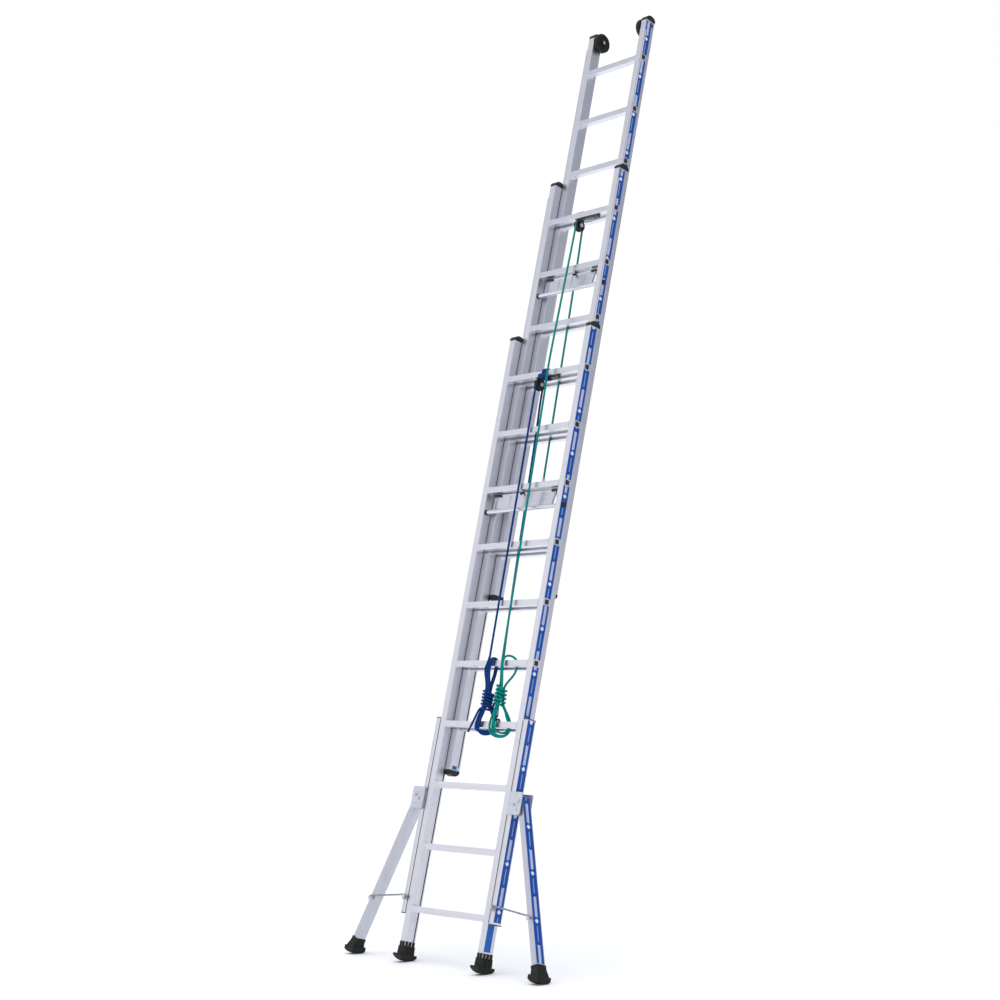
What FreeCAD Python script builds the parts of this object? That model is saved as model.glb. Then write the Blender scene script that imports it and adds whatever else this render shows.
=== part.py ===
import FreeCAD, Part
import math, os
from FreeCAD import Vector as V

os.makedirs("parts", exist_ok=True)

# Three-section rope-operated extension ladder, set up at its working angle.
# Everything is drawn in ladder axes first (X across, Y from the climber's side
# to the wall side, Z along the rails, base rung 1 at the origin, millimetres),
# then leaned back and put on the ground.

# ---------------- driving dimensions ----------------
LEAN = 14.0            # degrees from vertical, the one-in-four rule
PITCH = 280.0          # rung spacing
N_RUNG = 10            # rungs in each section
RAIL_W = 36.0          # rail width across the ladder
RAIL_YF, RAIL_YR = -19.0, 39.0   # rail front and rear, from the rung axis
WALL = 2.2             # rail wall
SIDE_GAP = 2.5         # gap between neighbouring sections' rails
WO = (275.0, 275.0 - RAIL_W - SIDE_GAP, 275.0 - 2 * (RAIL_W + SIDE_GAP))   # outer half widths
SEC_Y = (0.0, 45.5, 91.0)        # depth of each section's rung plane
SEC_Z = (0.0, 833.0, 1666.0)     # height of each section's rung 1, as set up
Z_TOP = 2722.0         # rail top end above its own rung 1
Z_BOT = (-164.0, -195.0, -195.0) # rail bottom end below its own rung 1
RUNG = 28.0            # square rung
RUNG_T = 2.4           # rung wall
TONGUE_Y0, TONGUE_Y1, TONGUE_L = -18.5, -15.0, 6.5
GROOVE_Y0, GROOVE_Y1, GROOVE_D = 26.2, 31.3, 5.0
ROPE_D = 10.0
SHEAVE_PITCH_R = 22.75 # rope centre line on the pulley
SHEAVE_R = 29.0        # pulley flange
SHEAVE_W = 18.0
PULLEY_X = (-28.0, 3.0)          # base and middle pulley
PULLEY_DROP = 51.0     # pulley axle below the top rung's axis
LATCH_RUNG = (8, 9)    # the rung each catch hangs under
LATCH_DROP = 105.5     # catch pivot below that rung
CH_X0, CH_X1 = 276.6, 305.0      # stabiliser guide channel across
CH_Y0, CH_Y1 = -19.0, 29.0
CH_Z0, CH_Z1 = -20.0, 865.0
LEG_A = 20.5           # stabiliser splay, degrees
LEG_P = (343.0, 508.0) # leg pivot x, z
LEG_W, LEG_Y0, LEG_Y1, LEG_T = 30.0, -19.0, 29.0, 2.0
STRUT_Y = -30.0
STRUT_A = (290.0, 47.0)          # strut pivot on the channel
STRUT_R = 4.0
WHEEL_R, WHEEL_W = 48.0, 25.0
WHEEL_Y, WHEEL_Z = 112.0, 4367.0

GROUND_R = 75.0        # rocker radius of the rubber soles
FOOT_C = (9.0, -153.0) # rocker centre y, z


# ---------------- helpers ----------------
def box(x0, x1, y0, y1, z0, z1):
    return Part.makeBox(x1 - x0, y1 - y0, z1 - z0, V(x0, y0, z0))


def cyl(r, p, d, h):
    return Part.makeCylinder(r, h, V(*p), V(*d))


def fuse(shapes):
    s = shapes[0]
    if len(shapes) > 1:
        s = s.multiFuse(shapes[1:])
    return s.removeSplitter()


def prism(pts, axis, a, b):
    """Extrude a closed outline. axis 'z': pts are (x, y); axis 'x': pts are (y, z); axis 'y': pts are (x, z)."""
    if axis == "z":
        q = [V(x, y, a) for x, y in pts]
        d = V(0, 0, b - a)
    elif axis == "x":
        q = [V(a, y, z) for y, z in pts]
        d = V(b - a, 0, 0)
    else:
        q = [V(x, a, z) for x, z in pts]
        d = V(0, b - a, 0)
    return Part.Face(Part.makePolygon(q + [q[0]])).extrude(d)


def mirror(s):
    return s.mirror(V(0, 0, 0), V(1, 0, 0))


def compound(shapes):
    out = []
    for s in shapes:
        out += s.Solids
    return Part.makeCompound(out)


def ring(ro, ri, p, d, h):
    return cyl(ro, p, d, h).cut(cyl(ri, p, d, h))


def capsule(a, b, r):
    a, b = V(*a), V(*b)
    d = b - a
    c = Part.makeCylinder(r, d.Length, a, d)
    return [c, Part.makeSphere(r, a), Part.makeSphere(r, b)]


def chain(points, r):
    out = []
    for a, b in zip(points[:-1], points[1:]):
        out.append(Part.makeCylinder(r, (V(*b) - V(*a)).Length, V(*a), V(*b) - V(*a)))
    for p in points:
        out.append(Part.makeSphere(r, V(*p)))
    s = out[0].multiFuse(out[1:])
    return s


def route(points, d, name, radii=None):
    """A round cord: straight runs joined by tangent arcs. radii gives a fixed radius for a corner."""
    P = [V(*p) for p in points]
    radii = radii or {}
    n = len(P)
    runs = [(P[i + 1] - P[i]).Length for i in range(n - 1)]
    edges = []
    cur = P[0]
    report = []
    for i in range(1, n - 1):
        u = (P[i] - P[i - 1]).normalize()
        w = (P[i + 1] - P[i]).normalize()
        turn = u.getAngle(w)
        if turn < 1e-6:
            continue
        r = radii.get(i, 0.45 * min(runs[i - 1], runs[i]) / math.tan(turn / 2))
        t = r * math.tan(turn / 2)
        a = P[i] - u * t
        b = P[i] + w * t
        bis = (w - u).normalize()
        c = P[i] + bis * (r / math.cos(turn / 2))
        mid = c - bis * r
        edges.append(Part.LineSegment(cur, a).toShape())
        edges.append(Part.Arc(a, mid, b).toShape())
        report.append("%.0f" % r)
        cur = b
    edges.append(Part.LineSegment(cur, P[-1]).toShape())
    wire = Part.Wire(edges)
    start = (P[1] - P[0]).normalize()
    prof = Part.Wire([Part.makeCircle(d / 2, P[0], start)])
    s = wire.makePipeShell([prof], True, False)
    if not s.Solids or not s.isValid():
        s = Part.makeSolid(s)
    L = sum(e.Length for e in edges)
    print("cord %s length %.1f radii %s volume %.0f of %.0f" % (name, L, " ".join(report), s.Volume, math.pi * d * d / 4 * L))
    return s


parts = {}
body_of = {}


def rung_z(sec, n):
    return SEC_Z[sec] + PITCH * (n - 1)


# ---------------- rails ----------------
def rail(sec):
    """Right-hand rail of a section: closed extrusion, with a guide tongue at its front outer
    corner and a guide groove in its inner wall, pierced by the square rungs."""
    xo = WO[sec]
    xi = xo - RAIL_W
    y = SEC_Y[sec]
    yf, yr = y + RAIL_YF, y + RAIL_YR
    g0, g1 = y + GROOVE_Y0, y + GROOVE_Y1
    t0, t1 = y + TONGUE_Y0, y + TONGUE_Y1
    out = [(xo, yf + 1.5), (xo - 1.5, yf), (xi + 1.5, yf), (xi, yf + 1.5)]
    out += [(xi, y + 16.0), (xi + 0.9, y + 16.4), (xi + 0.9, y + 18.6), (xi, y + 19.0)]
    if sec < 2:
        out += [(xi, g0), (xi + GROOVE_D, g0), (xi + GROOVE_D, g1), (xi, g1)]
    out += [(xi, yr - 1.5), (xi + 1.5, yr), (xo - 1.5, yr), (xo, yr - 1.5)]
    for c in (32.5, 26.5):
        out += [(xo, y + c + 1.6), (xo - 0.9, y + c + 1.2), (xo - 0.9, y + c - 1.2), (xo, y + c - 1.6)]
    if sec > 0:
        out += [(xo, t1), (xo + TONGUE_L, t1), (xo + TONGUE_L, t0), (xo, t0)]
        out[0] = (xo - 0.5, yf)
        del out[1]
    z0, z1 = SEC_Z[sec] + Z_BOT[sec], SEC_Z[sec] + Z_TOP
    s = prism(out, "z", z0, z1)
    w = WALL
    cav = [(xi + w, yf + w), (xo - w, yf + w), (xo - w, y + 24.0)]
    cav += [(xo - w - 0.9, y + 24.4), (xo - w - 0.9, yr - w - 0.9), (xi + w + 0.0, yr - w)]
    if sec < 2:
        cav[-1] = (xo - w - 1.8, yr - w)
        cav += [(xi + w, yr - w), (xi + w, g1 + w), (xi + GROOVE_D + w, g1 + w), (xi + GROOVE_D + w, g0 - w), (xi + w + 0.9, g0 - w)]
    else:
        cav[-1] = (xo - w - 1.8, yr - w)
        cav += [(xi + w, yr - w), (xi + w, y + 22.0), (xi + w + 0.9, y + 21.0)]
    cav += [(xi + w + 0.9, y + 14.4), (xi + w, y + 14.0)]
    s = s.cut(prism(cav, "z", z0 - 1, z1 + 1))
    h = RUNG / 2
    cuts = [box(xi - 5, xo + 20, y - h, y + h, rung_z(sec, n) - h, rung_z(sec, n) + h) for n in range(1, N_RUNG + 1)]
    if sec < 2:
        lz = rung_z(sec, LATCH_RUNG[sec]) - LATCH_DROP
        cuts.append(cyl(5.0, (xi - 5, y, lz), (1, 0, 0), RAIL_W + 20))
    if sec == 2:
        cuts.append(cyl(6.0, (xi - 5, WHEEL_Y, WHEEL_Z), (1, 0, 0), RAIL_W + 20))
    if sec > 0:
        # the tongue is trimmed off at the section's ends so the rails start cleanly
        cuts.append(box(xo, xo + 10, t0 - 1, t1 + 1, z1 - 60, z1 + 1))
    else:
        # the front is relieved where the rubber foot grips it
        cuts.append(box(xi - 1, xo + 1, yf - 1, yf + 0.3, z0 - 1, z0 + 24))
    return s.cut(Part.makeCompound(cuts)) if len(cuts) == 1 else s.cut(cuts)


def rungs(sec):
    """Ten square tubes with a ribbed tread, and the flared collars that seat them against the rails."""
    xo, y = WO[sec], SEC_Y[sec]
    xi = xo - RAIL_W
    h = RUNG / 2
    e = xo + 0.8
    out = []
    collars = []
    for n in range(1, N_RUNG + 1):
        z = rung_z(sec, n)
        q = [(y - h + 1, z - h), (y + h - 1, z - h), (y + h, z - h + 1), (y + h, z + h)]
        for c in (8.0, 2.7, -2.7, -8.0):
            q += [(y + c + 1.2, z + h), (y + c + 0.8, z + h - 0.8), (y + c - 0.8, z + h - 0.8), (y + c - 1.2, z + h)]
        q += [(y - h, z + h), (y - h, z - h + 1)]
        q = [q[0]] + q[1:]
        t = prism(q, "x", -e, e)
        k = h - RUNG_T
        t = t.cut(box(-e - 1, e + 1, y - k, y + k, z - k, z + k - 0.6))
        # the ends are drawn down a tenth at the front where they enter the collars
        for lo, hi in ((-e - 1, -(xi - 7.5)), (xi - 7.5, e + 1)):
            t = t.cut(box(lo, hi, y - h - 1, y - h + 0.1, z - h - 1, z + h + 1))
        for s in (-1, 1):
            xa = s * xi
            a = [(h + 3.2, xa), (h + 0.0, xa - s * 7.0)]
            # flared collar: a square cone frustum around the tube, against the rail
            big = [V(xa, y - a[0][0], z - a[0][0]), V(xa, y + a[0][0], z - a[0][0]), V(xa, y + a[0][0], z + a[0][0]), V(xa, y - a[0][0], z + a[0][0])]
            x2 = a[1][1]
            g = h + 0.6
            small = [V(x2, y - g, z - g), V(x2, y + g, z - g), V(x2, y + g, z + g), V(x2, y - g, z + g)]
            w1 = Part.makePolygon(big + [big[0]])
            w2 = Part.makePolygon(small + [small[0]])
            col = Part.makeLoft([w1, w2], True)
            col = col.cut(box(-e, e, y - h, y + h, z - h, z + h))
            collars.append(col)
        if n == N_RUNG and sec < 2:
            px = PULLEY_X[sec]
            for dx in (-15.0, 15.0):
                t = t.cut(cyl(4.0, (px + dx, y, z - 30), (0, 0, 1), 60))
        out.append(t)
    return compound(out), compound(collars)


def plugs(sec):
    xo, y = WO[sec], SEC_Y[sec]
    k = RUNG / 2 - RUNG_T
    out = []
    for n in range(1, N_RUNG + 1):
        z = rung_z(sec, n)
        for s in (-1, 1):
            a, b = sorted((s * (xo - 9.0), s * (xo + 0.6)))
            out.append(box(a, b, y - k, y + k, z - k, z + k - 0.6))
    return compound(out)


def top_cap(sec):
    """Arched moulded cap with a skirt, right-hand side."""
    xo, y = WO[sec], SEC_Y[sec]
    xi = xo - RAIL_W
    z = SEC_Z[sec] + Z_TOP
    yf, yr = y + RAIL_YF, y + RAIL_YR
    yc, ha = (yf + yr) / 2, (yr - yf) / 2
    turn = [math.radians(180 - 180 * k / 18) for k in range(19)]
    pts = [(yf - 1.2, z + 0.3)] + [(yc + (ha + 1.2) * math.cos(t), z + 6 + 21 * math.sin(t)) for t in turn] + [(yr + 1.2, z + 0.3)]
    s = prism(pts, "x", xi - 0.3, xo + 0.9)
    # recess under the arch leaves a 4 mm shell
    rec = [(yf + 5, z - 1), (yf + 5, z + 6), (yf + 14, z + 17), (yf + 24, z + 21.5), (yr - 24, z + 21.5), (yr - 14, z + 17), (yr - 5, z + 6), (yr - 5, z - 1)]
    s = s.cut(prism(rec, "x", xi + 4, xo - 4))
    if sec < 2:
        # notch that the next section's tongue runs through
        s = s.cut(box(xi - 1, xi + GROOVE_D + 0.4, y + GROOVE_Y0 - 0.5, y + GROOVE_Y1 + 0.5, z - 1, z + 40))
    return s


def end_cap(sec):
    """Rounded moulded cap on the lower end of a fly rail, right-hand side."""
    xo, y = WO[sec], SEC_Y[sec]
    xi = xo - RAIL_W
    z = SEC_Z[sec] + Z_BOT[sec] - 0.3
    yf, yr = y + RAIL_YF, y + RAIL_YR
    yc, ha = (yf + yr) / 2, (yr - yf) / 2
    turn = [math.radians(180 - 180 * k / 18) for k in range(19)]
    pts = [(yf - 0.8, z)] + [(yc + (ha + 0.8) * math.cos(t), z - 4 - 23 * math.sin(t)) for t in turn] + [(yr + 0.8, z)]
    return prism(pts, "x", xi - 0.3, xo + 0.6)


for sec, nm in enumerate(("base", "middle", "top")):
    r = rail(sec)
    parts[nm + "_rail_right"] = r
    parts[nm + "_rail_left"] = mirror(r)
    parts[nm + "_rungs"], parts[nm + "_rung_collars"] = rungs(sec)
    parts[nm + "_rung_plugs"] = plugs(sec)
    c = top_cap(sec)
    caps = [c, mirror(c)]
    if sec:
        c = end_cap(sec)
        caps += [c, mirror(c)]
    parts[nm + "_rail_caps"] = compound(caps)

# steel guide plates riveted to the rear of the middle rails' lower ends
y = SEC_Y[1] + RAIL_YR
gz = SEC_Z[1] + Z_BOT[1]
gp = box(WO[1] - RAIL_W + 3, WO[1] - 2, y + 0.1, y + 2.6, gz + 6, gz + 120)
gp = gp.fuse(fuse([cyl(4.0, (WO[1] - 18, y + 2.6, gz + k), (0, 1, 0), 2.2) for k in (22,)] ))
gp = gp.fuse(cyl(4.0, (WO[1] - 18, y + 2.6, gz + 104), (0, 1, 0), 2.2))
parts["middle_guide_plates"] = compound([gp, mirror(gp)])


# ---------------- rubber feet ----------------
def foot():
    xo = WO[0]
    xi = xo - RAIL_W
    yf, yr = RAIL_YF, RAIL_YR
    cy, cz = FOOT_C
    zb = Z_BOT[0]
    c = Part.makeCylinder(GROUND_R, RAIL_W + 12, V(xi - 6, cy, cz), V(1, 0, 0))
    sole = c.common(box(xi - 6, xo + 6, cy - 51, cy + 49, -240, cz - 46))
    body = prism([(yf - 2.5, zb - 0.3), (yf - 4, zb - 38), (yr + 4, zb - 38), (yr + 2.5, zb - 0.3)], "x", xi - 2.5, xo + 2.5)
    ribs = []
    # upright fingers gripping the rail end, outside and inside, front and rear
    for y0 in (yf + 3, yf + 23, yf + 43):
        ribs.append(box(xo + 0.3, xo + 3.5, y0, y0 + 12, zb - 6, zb + 20))
        ribs.append(box(xi - 3.5, xi - 0.3, y0, y0 + 12, zb - 6, zb + 20))
    ribs.append(box(xi + 5, xi + 14, yf - 3.5, yf - 0.3, zb - 6, zb + 20))
    ribs.append(box(xo - 14, xo - 5, yf - 3.5, yf - 0.3, zb - 6, zb + 20))
    ribs.append(box(xi + 5, xi + 14, yr + 0.3, yr + 3.5, zb - 6, zb + 20))
    ribs.append(box(xo - 14, xo - 5, yr + 0.3, yr + 3.5, zb - 6, zb + 20))
    s = fuse([sole, body] + ribs)
    # vertical flutes in the block
    for y0 in (yf + 16.5, yf + 36.5):
        s = s.cut(box(xo + 1.0, xo + 4, y0, y0 + 5, zb - 34, zb + 25))
        s = s.cut(box(xi - 4, xi - 1.0, y0, y0 + 5, zb - 34, zb + 25))
    # tread grooves across the sole
    for k in (-30, -15, 0, 15, 30):
        a = math.radians(k)
        py, pz = cy + GROUND_R * math.sin(a), cz - GROUND_R * math.cos(a)
        if k != 15:
            s = s.cut(box(xi - 7, xo + 7, py - 1.5, py + 1.5, pz - 3, pz + 2.5))
    return s


f = foot()
parts["base_feet"] = compound([f, mirror(f)])


# ---------------- pulleys ----------------
def pulley(sec, nm):
    x, y = PULLEY_X[sec], SEC_Y[sec]
    zr = rung_z(sec, N_RUNG)
    z = zr - PULLEY_DROP
    h = RUNG / 2
    hw = SHEAVE_W / 2
    # grooved wheel
    gr = SHEAVE_PITCH_R - ROPE_D / 2 - 0.2
    prof = [(x - hw, 6.1), (x - hw, SHEAVE_R - 2), (x - hw + 1, SHEAVE_R), (x - hw + 2.2, SHEAVE_R), (x - 5.2, gr + 4), (x - 3.0, gr), (x + 3.0, gr), (x + 5.2, gr + 4), (x + hw - 2.2, SHEAVE_R), (x + hw - 1, SHEAVE_R), (x + hw, SHEAVE_R - 2), (x + hw, 6.1)]
    q = [V(a, 0, b) for a, b in prof]
    w = Part.Face(Part.makePolygon(q + [q[0]])).revolve(V(0, 0, 0), V(1, 0, 0), 360)
    # lightening dish in both faces
    for s in (-1, 1):
        xa = x + s * hw
        w = w.cut(ring(19.0, 10.5, (xa - s * 3.0, 0, 0), (s, 0, 0), 4))
    w.translate(V(0, y, z))
    parts[nm + "_pulley_wheel"] = w
    # bracket: plate under the rung, two cheeks, arm along the rung, saddle on top
    zb = zr - h
    plate = box(x - 24, x + 24, y - 13, y + 13, zb - 5, zb - 0.1)
    arm = prism([(x + 20, zb - 5), (x + 20, zb - 0.1), (x + 120, zb - 0.1), (x + 126, zb - 4), (x + 122, zb - 11), (x + 95, zb - 13), (x + 60, zb - 9)], "y", y - 7, y + 11)
    cheeks = []
    for s in (-1, 1):
        a, b = sorted((x + s * (hw + 1.2), x + s * (hw + 4.7)))
        c = prism([(y - 13, zb - 4), (y + 13, zb - 4), (y + 9, z - 4), (y + 4, z - 9), (y - 4, z - 9), (y - 9, z - 4)], "x", a, b)
        cheeks.append(c)
    saddle = box(x - 24, x + 24, y - 13, y + 13, zr + h + 0.1, zr + h + 2.6)
    br = fuse([plate, arm] + cheeks)
    br = br.cut(cyl(6.0, (x - 40, y, z), (1, 0, 0), 80))
    for dx in (-15.0, 15.0):
        br = br.cut(cyl(4.0, (x + dx, y, zb - 40), (0, 0, 1), 60))
        saddle = saddle.cut(cyl(4.0, (x + dx, y, zr), (0, 0, 1), 60))
    parts[nm + "_pulley_bracket"] = compound([br, saddle])
    # axle and two clamp bolts
    ax = fuse([cyl(6.0, (x - hw - 8, y, z), (1, 0, 0), 2 * hw + 16), cyl(9.0, (x + hw + 4.8, y, z), (1, 0, 0), 4.0), cyl(9.0, (x - hw - 8.8, y, z), (1, 0, 0), 4.0)])
    fast = [ax]
    for dx in (-15.0, 15.0):
        b = cyl(4.0, (x + dx, y, zb - 7.5), (0, 0, 1), h * 2 + 14)
        head = cyl(7.0, (x + dx, y, zr + h + 2.7), (0, 0, 1), 4.5)
        fast.append(b.fuse(head))
    parts[nm + "_pulley_bolts"] = compound(fast)


pulley(0, "base")
pulley(1, "middle")


# ---------------- catches ----------------
def latch(sec, nm):
    y = SEC_Y[sec]
    xi = WO[sec] - RAIL_W
    zr = rung_z(sec, LATCH_RUNG[sec])
    zp = zr - LATCH_DROP
    L = xi - 7.0                       # half length of the tube
    by, bz = y + 15.5, zp + 83.6       # upper bar
    tube = cyl(10.5, (-L, y, zp), (1, 0, 0), 2 * L)
    bar_h = xi - 30.0
    bar = cyl(3.6, (-bar_h, by, bz), (1, 0, 0), 2 * bar_h)
    pw = xi - 42.0
    # flap: a thin sheet from the tube's rear side up to the bar, with two pressed ribs
    d = V(0, by - y - 3.5, bz - zp - 6).normalize()
    nrm = V(0, d.z, -d.y)
    a = V(0, y + 8.0, zp + 4.0)
    b = V(0, by, bz)
    t = 1.1
    q = [a - nrm * t, b - nrm * t, b + nrm * t, a + nrm * t]
    sheet = prism([(v.y, v.z) for v in q], "x", -pw, pw)
    ribs = []
    for xr in (-pw * 0.55, 0.0, pw * 0.55):
        a2, b2 = a + (b - a) * 0.22, a + (b - a) * 0.9
        q = [a2 - nrm * 3.0, b2 - nrm * 3.0, b2, a2]
        ribs.append(prism([(v.y, v.z) for v in q], "x", xr - 5, xr + 5))
    # arms joining tube and bar at both sides of the sheet
    arms = []
    for s in (-1, 1):
        xa, xb = sorted((s * (pw - 3), s * (pw + 2)))
        arms.append(prism([(y - 6, zp), (y + 6, zp), (by + 3.4, bz), (by - 3.4, bz)], "x", xa, xb))
    flap = fuse([tube, bar, sheet] + ribs + arms)
    flap = flap.cut(cyl(8.3, (-L - 1, y, zp), (1, 0, 0), 2 * L + 2))
    parts[nm + "_latch_flap"] = flap
    # black fittings: end bushings, jaws on the bar ends, rope guide in the middle
    fit = []
    for s in (-1, 1):
        x0, x1 = sorted((s * (L - 14), s * (xi - 1.0)))
        bush = fuse([cyl(8.3, (x0, y, zp), (1, 0, 0), x1 - x0)])
        xa = s * L
        xb = s * (xi - 1.0)
        xa, xb = sorted((xa, xb))
        bush = bush.fuse(cyl(13.0, (xa + (0.1 if s > 0 else 0), y, zp), (1, 0, 0), xb - xa - 0.1))
        bush = bush.cut(cyl(5.05, (x0 - 1, y, zp), (1, 0, 0), x1 - x0 + 2))
        fit.append(bush)
        # jaw: grips the bar end, its nose standing just clear of the next section's rungs
        ja, jb = sorted((s * (xi - 71.0), s * (xi - 27.0)))
        ha, hb = sorted((s * (xi - 71.0), s * (xi - 49.0)))
        top = zr - 12.6 - RUNG / 2         # just under the rung that the catch stands by
        jaw = prism([(by - 6, bz - 8), (by - 6, bz + 2), (by - 3, bz + 4.2), (by + 2.5, bz + 4.2), (by + 5.5, bz + 2), (by + 5.5, bz - 8)], "x", ja, jb)
        hook = prism([(by - 2, bz + 0.5), (by + 6, bz + 0.5), (y + 28.6, top + 1.5), (y + 30.7, top - 3), (y + 30.2, top - 11), (by + 8, top - 15.0), (by - 2, bz - 8)], "x", ha, hb)
        jaw = jaw.fuse(hook)
        jaw = jaw.cut(cyl(3.6, (-bar_h - 20, by, bz), (1, 0, 0), 2 * bar_h + 40))
        cutter = flap.common(box(-400, 400, by - 20, by + 3.59, bz - 20, bz + 10))
        jaw = jaw.cut(cutter)
        jaw = max(jaw.Solids, key=lambda k: k.Volume)
        fit.append(jaw)
    # rope guide: a ring standing forward of the bar, with a notch opening upward
    gx = -22.0 if sec == 0 else 22.0
    gd = fuse([ring(6.0, 3.6, (gx - 7, by, bz), (1, 0, 0), 14), ])
    fin = prism([(by - 5.0, bz - 3), (by - 5.0, bz + 3), (by - 17.5, bz - 2), (by - 20.0, bz - 12), (by - 15, bz - 14), (by - 12, bz - 6)], "x", gx - 4, gx + 4)
    gd = gd.fuse(fin)
    gd = gd.cut(flap)
    fit.append(gd.Solids[0] if len(gd.Solids) == 1 else max(gd.Solids, key=lambda k: k.Volume))
    parts[nm + "_latch_fittings"] = compound(fit)
    pins = []
    for s in (-1, 1):
        xo = WO[sec]
        a, b = s * (xi - 20), s * (xo + 0.2)
        lo = min(a, b)
        p = cyl(5.0, (lo, y, zp), (1, 0, 0), abs(b - a))
        hd = 1.4 if sec else 5.5
        p = p.fuse(cyl(13.0, (min(s * (xo + 0.1), s * (xo + 0.1 + hd)), y, zp), (1, 0, 0), hd))
        pins.append(p)
    parts[nm + "_latch_pins"] = compound(pins)
    return zp


latch_z = (latch(0, "base"), latch(1, "middle"))


# ---------------- rope anchors ----------------
def anchor(sec, n, x, nm, wheel):
    """Clamp strap round a rung with an eye for the rope's end."""
    y, z = SEC_Y[sec], rung_z(sec, n)
    h = RUNG / 2
    e = 0.15
    o = box(x - 9, x + 9, y - h - 2.4, y + h + 2.4, z - h - 2.4, z + h + 2.4)
    o = o.cut(box(x - 20, x + 20, y - h - e, y + h + e, z - h - e, z + h + e))
    eye = cyl(15.0, (x - 5, y - 3, z + h + 18), (1, 0, 0), 10)
    neck = box(x - 5, x + 5, y - 12, y + 6, z + h + 2.0, z + h + 12)
    s = fuse([o, eye, neck])
    s = s.cut(cyl(7.0, (x - 30, y - 3, z + h + 20), (1, 0, 0), 60))
    s = fuse([s])
    return s


ANCH_M = 42.0
ANCH_T = 36.0
parts["middle_rope_anchor"] = anchor(1, 1, ANCH_M, "middle", True)
parts["top_rope_anchor"] = anchor(2, 2, ANCH_T, "top", False)


# ---------------- wall wheels ----------------
wx = WO[2] - RAIL_W - 4.0
tyre = [(-WHEEL_W / 2, 8.1), (-WHEEL_W / 2, 14), (-WHEEL_W / 2 + 4, 16), (-WHEEL_W / 2 + 4, 33), (-WHEEL_W / 2, 36), (-WHEEL_W / 2, WHEEL_R - 3), (-WHEEL_W / 2 + 3, WHEEL_R), (WHEEL_W / 2 - 3, WHEEL_R), (WHEEL_W / 2, WHEEL_R - 3), (WHEEL_W / 2, 36), (WHEEL_W / 2 - 4, 33), (WHEEL_W / 2 - 4, 16), (WHEEL_W / 2, 14), (WHEEL_W / 2, 8.1)]
q = [V(a, 0, b) for a, b in tyre]
wheel = Part.Face(Part.makePolygon(q + [q[0]])).revolve(V(0, 0, 0), V(1, 0, 0), 360)
wheel.translate(V(wx - WHEEL_W / 2, WHEEL_Y, WHEEL_Z))
parts["top_wheel_right"] = wheel
parts["top_wheel_left"] = mirror(wheel)
x0 = wx - WHEEL_W
bolt = fuse([cyl(8.0, (x0 - 1.0, WHEEL_Y, WHEEL_Z), (1, 0, 0), wx + 4.0 - x0 + 1.0 - 0.1), cyl(12.0, (x0 - 6.5, WHEEL_Y, WHEEL_Z), (1, 0, 0), 5.5), cyl(6.0, (x0, WHEEL_Y, WHEEL_Z), (1, 0, 0), WO[2] - x0 + 1.0), cyl(9.0, (WO[2] + 0.1, WHEEL_Y, WHEEL_Z), (1, 0, 0), 1.3)])
parts["top_wheel_bolts"] = compound([bolt, mirror(bolt)])


# ---------------- stabilisers ----------------
ch = box(CH_X0, CH_X1, CH_Y0, CH_Y1, CH_Z0, CH_Z1).cut(box(CH_X0 + 2, CH_X1 - 2, CH_Y0 + 2, CH_Y1 - 2, CH_Z0 - 1, CH_Z1 + 1))
# a shallow track down the front face and height holes in the outer face
ch = ch.cut(box(CH_X0 + 6, CH_X1 - 6, CH_Y0 - 1, CH_Y0 + 0.7, CH_Z0 - 1, CH_Z1 + 1))
for k in range(6):
    ch = ch.cut(cyl(4.0, (CH_X1 - 4, 5, 560 + 50 * k), (1, 0, 0), 8))
ch = ch.cut(cyl(5.0, (STRUT_A[0], CH_Y0 - 2, STRUT_A[1]), (0, 1, 0), 6))
parts["stab_channels"] = compound([ch, mirror(ch)])
caps = [box(CH_X0 - 0.4, CH_X1 + 1.0, CH_Y0 - 1.0, CH_Y1 + 1.0, CH_Z1 + 0.1, CH_Z1 + 3.6), box(CH_X0 - 0.4, CH_X1 + 1.0, CH_Y0 - 1.0, CH_Y1 + 1.0, CH_Z0 - 3.6, CH_Z0 - 0.1)]
parts["stab_channel_caps"] = compound(caps + [mirror(c) for c in caps])
# rivets between rail and channel, and the studs the struts turn on
fast = []
for z in (-5.0, 140.0, 420.0, 700.0, 850.0):
    fast.append(cyl(3.5, (WO[0] - 5, 20.0, z), (1, 0, 0), CH_X0 - WO[0] + 9))
ax, az = STRUT_A
fast.append(fuse([cyl(5.0, (ax, CH_Y0 + 3.0, az), (0, -1, 0), 20.0), cyl(9.0, (ax, STRUT_Y - 4.6, az), (0, -1, 0), 3.0)]))
parts["stab_studs_and_rivets"] = compound(fast + [mirror(c) for c in fast])


def leg_rot(s):
    s = s.copy()
    s.rotate(V(LEG_P[0], 0, LEG_P[1]), V(0, 1, 0), -LEG_A)
    return s


px, pz = LEG_P
sa, ca = math.sin(math.radians(LEG_A)), math.cos(math.radians(LEG_A))
# ground line in ladder axes: z = (G + y sin(lean)) / cos(lean)
sl, cl = math.sin(math.radians(LEAN)), math.cos(math.radians(LEAN))
G = cl * (FOOT_C[1] - GROUND_R * cl) - sl * (FOOT_C[0] + GROUND_R * sl)
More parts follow.
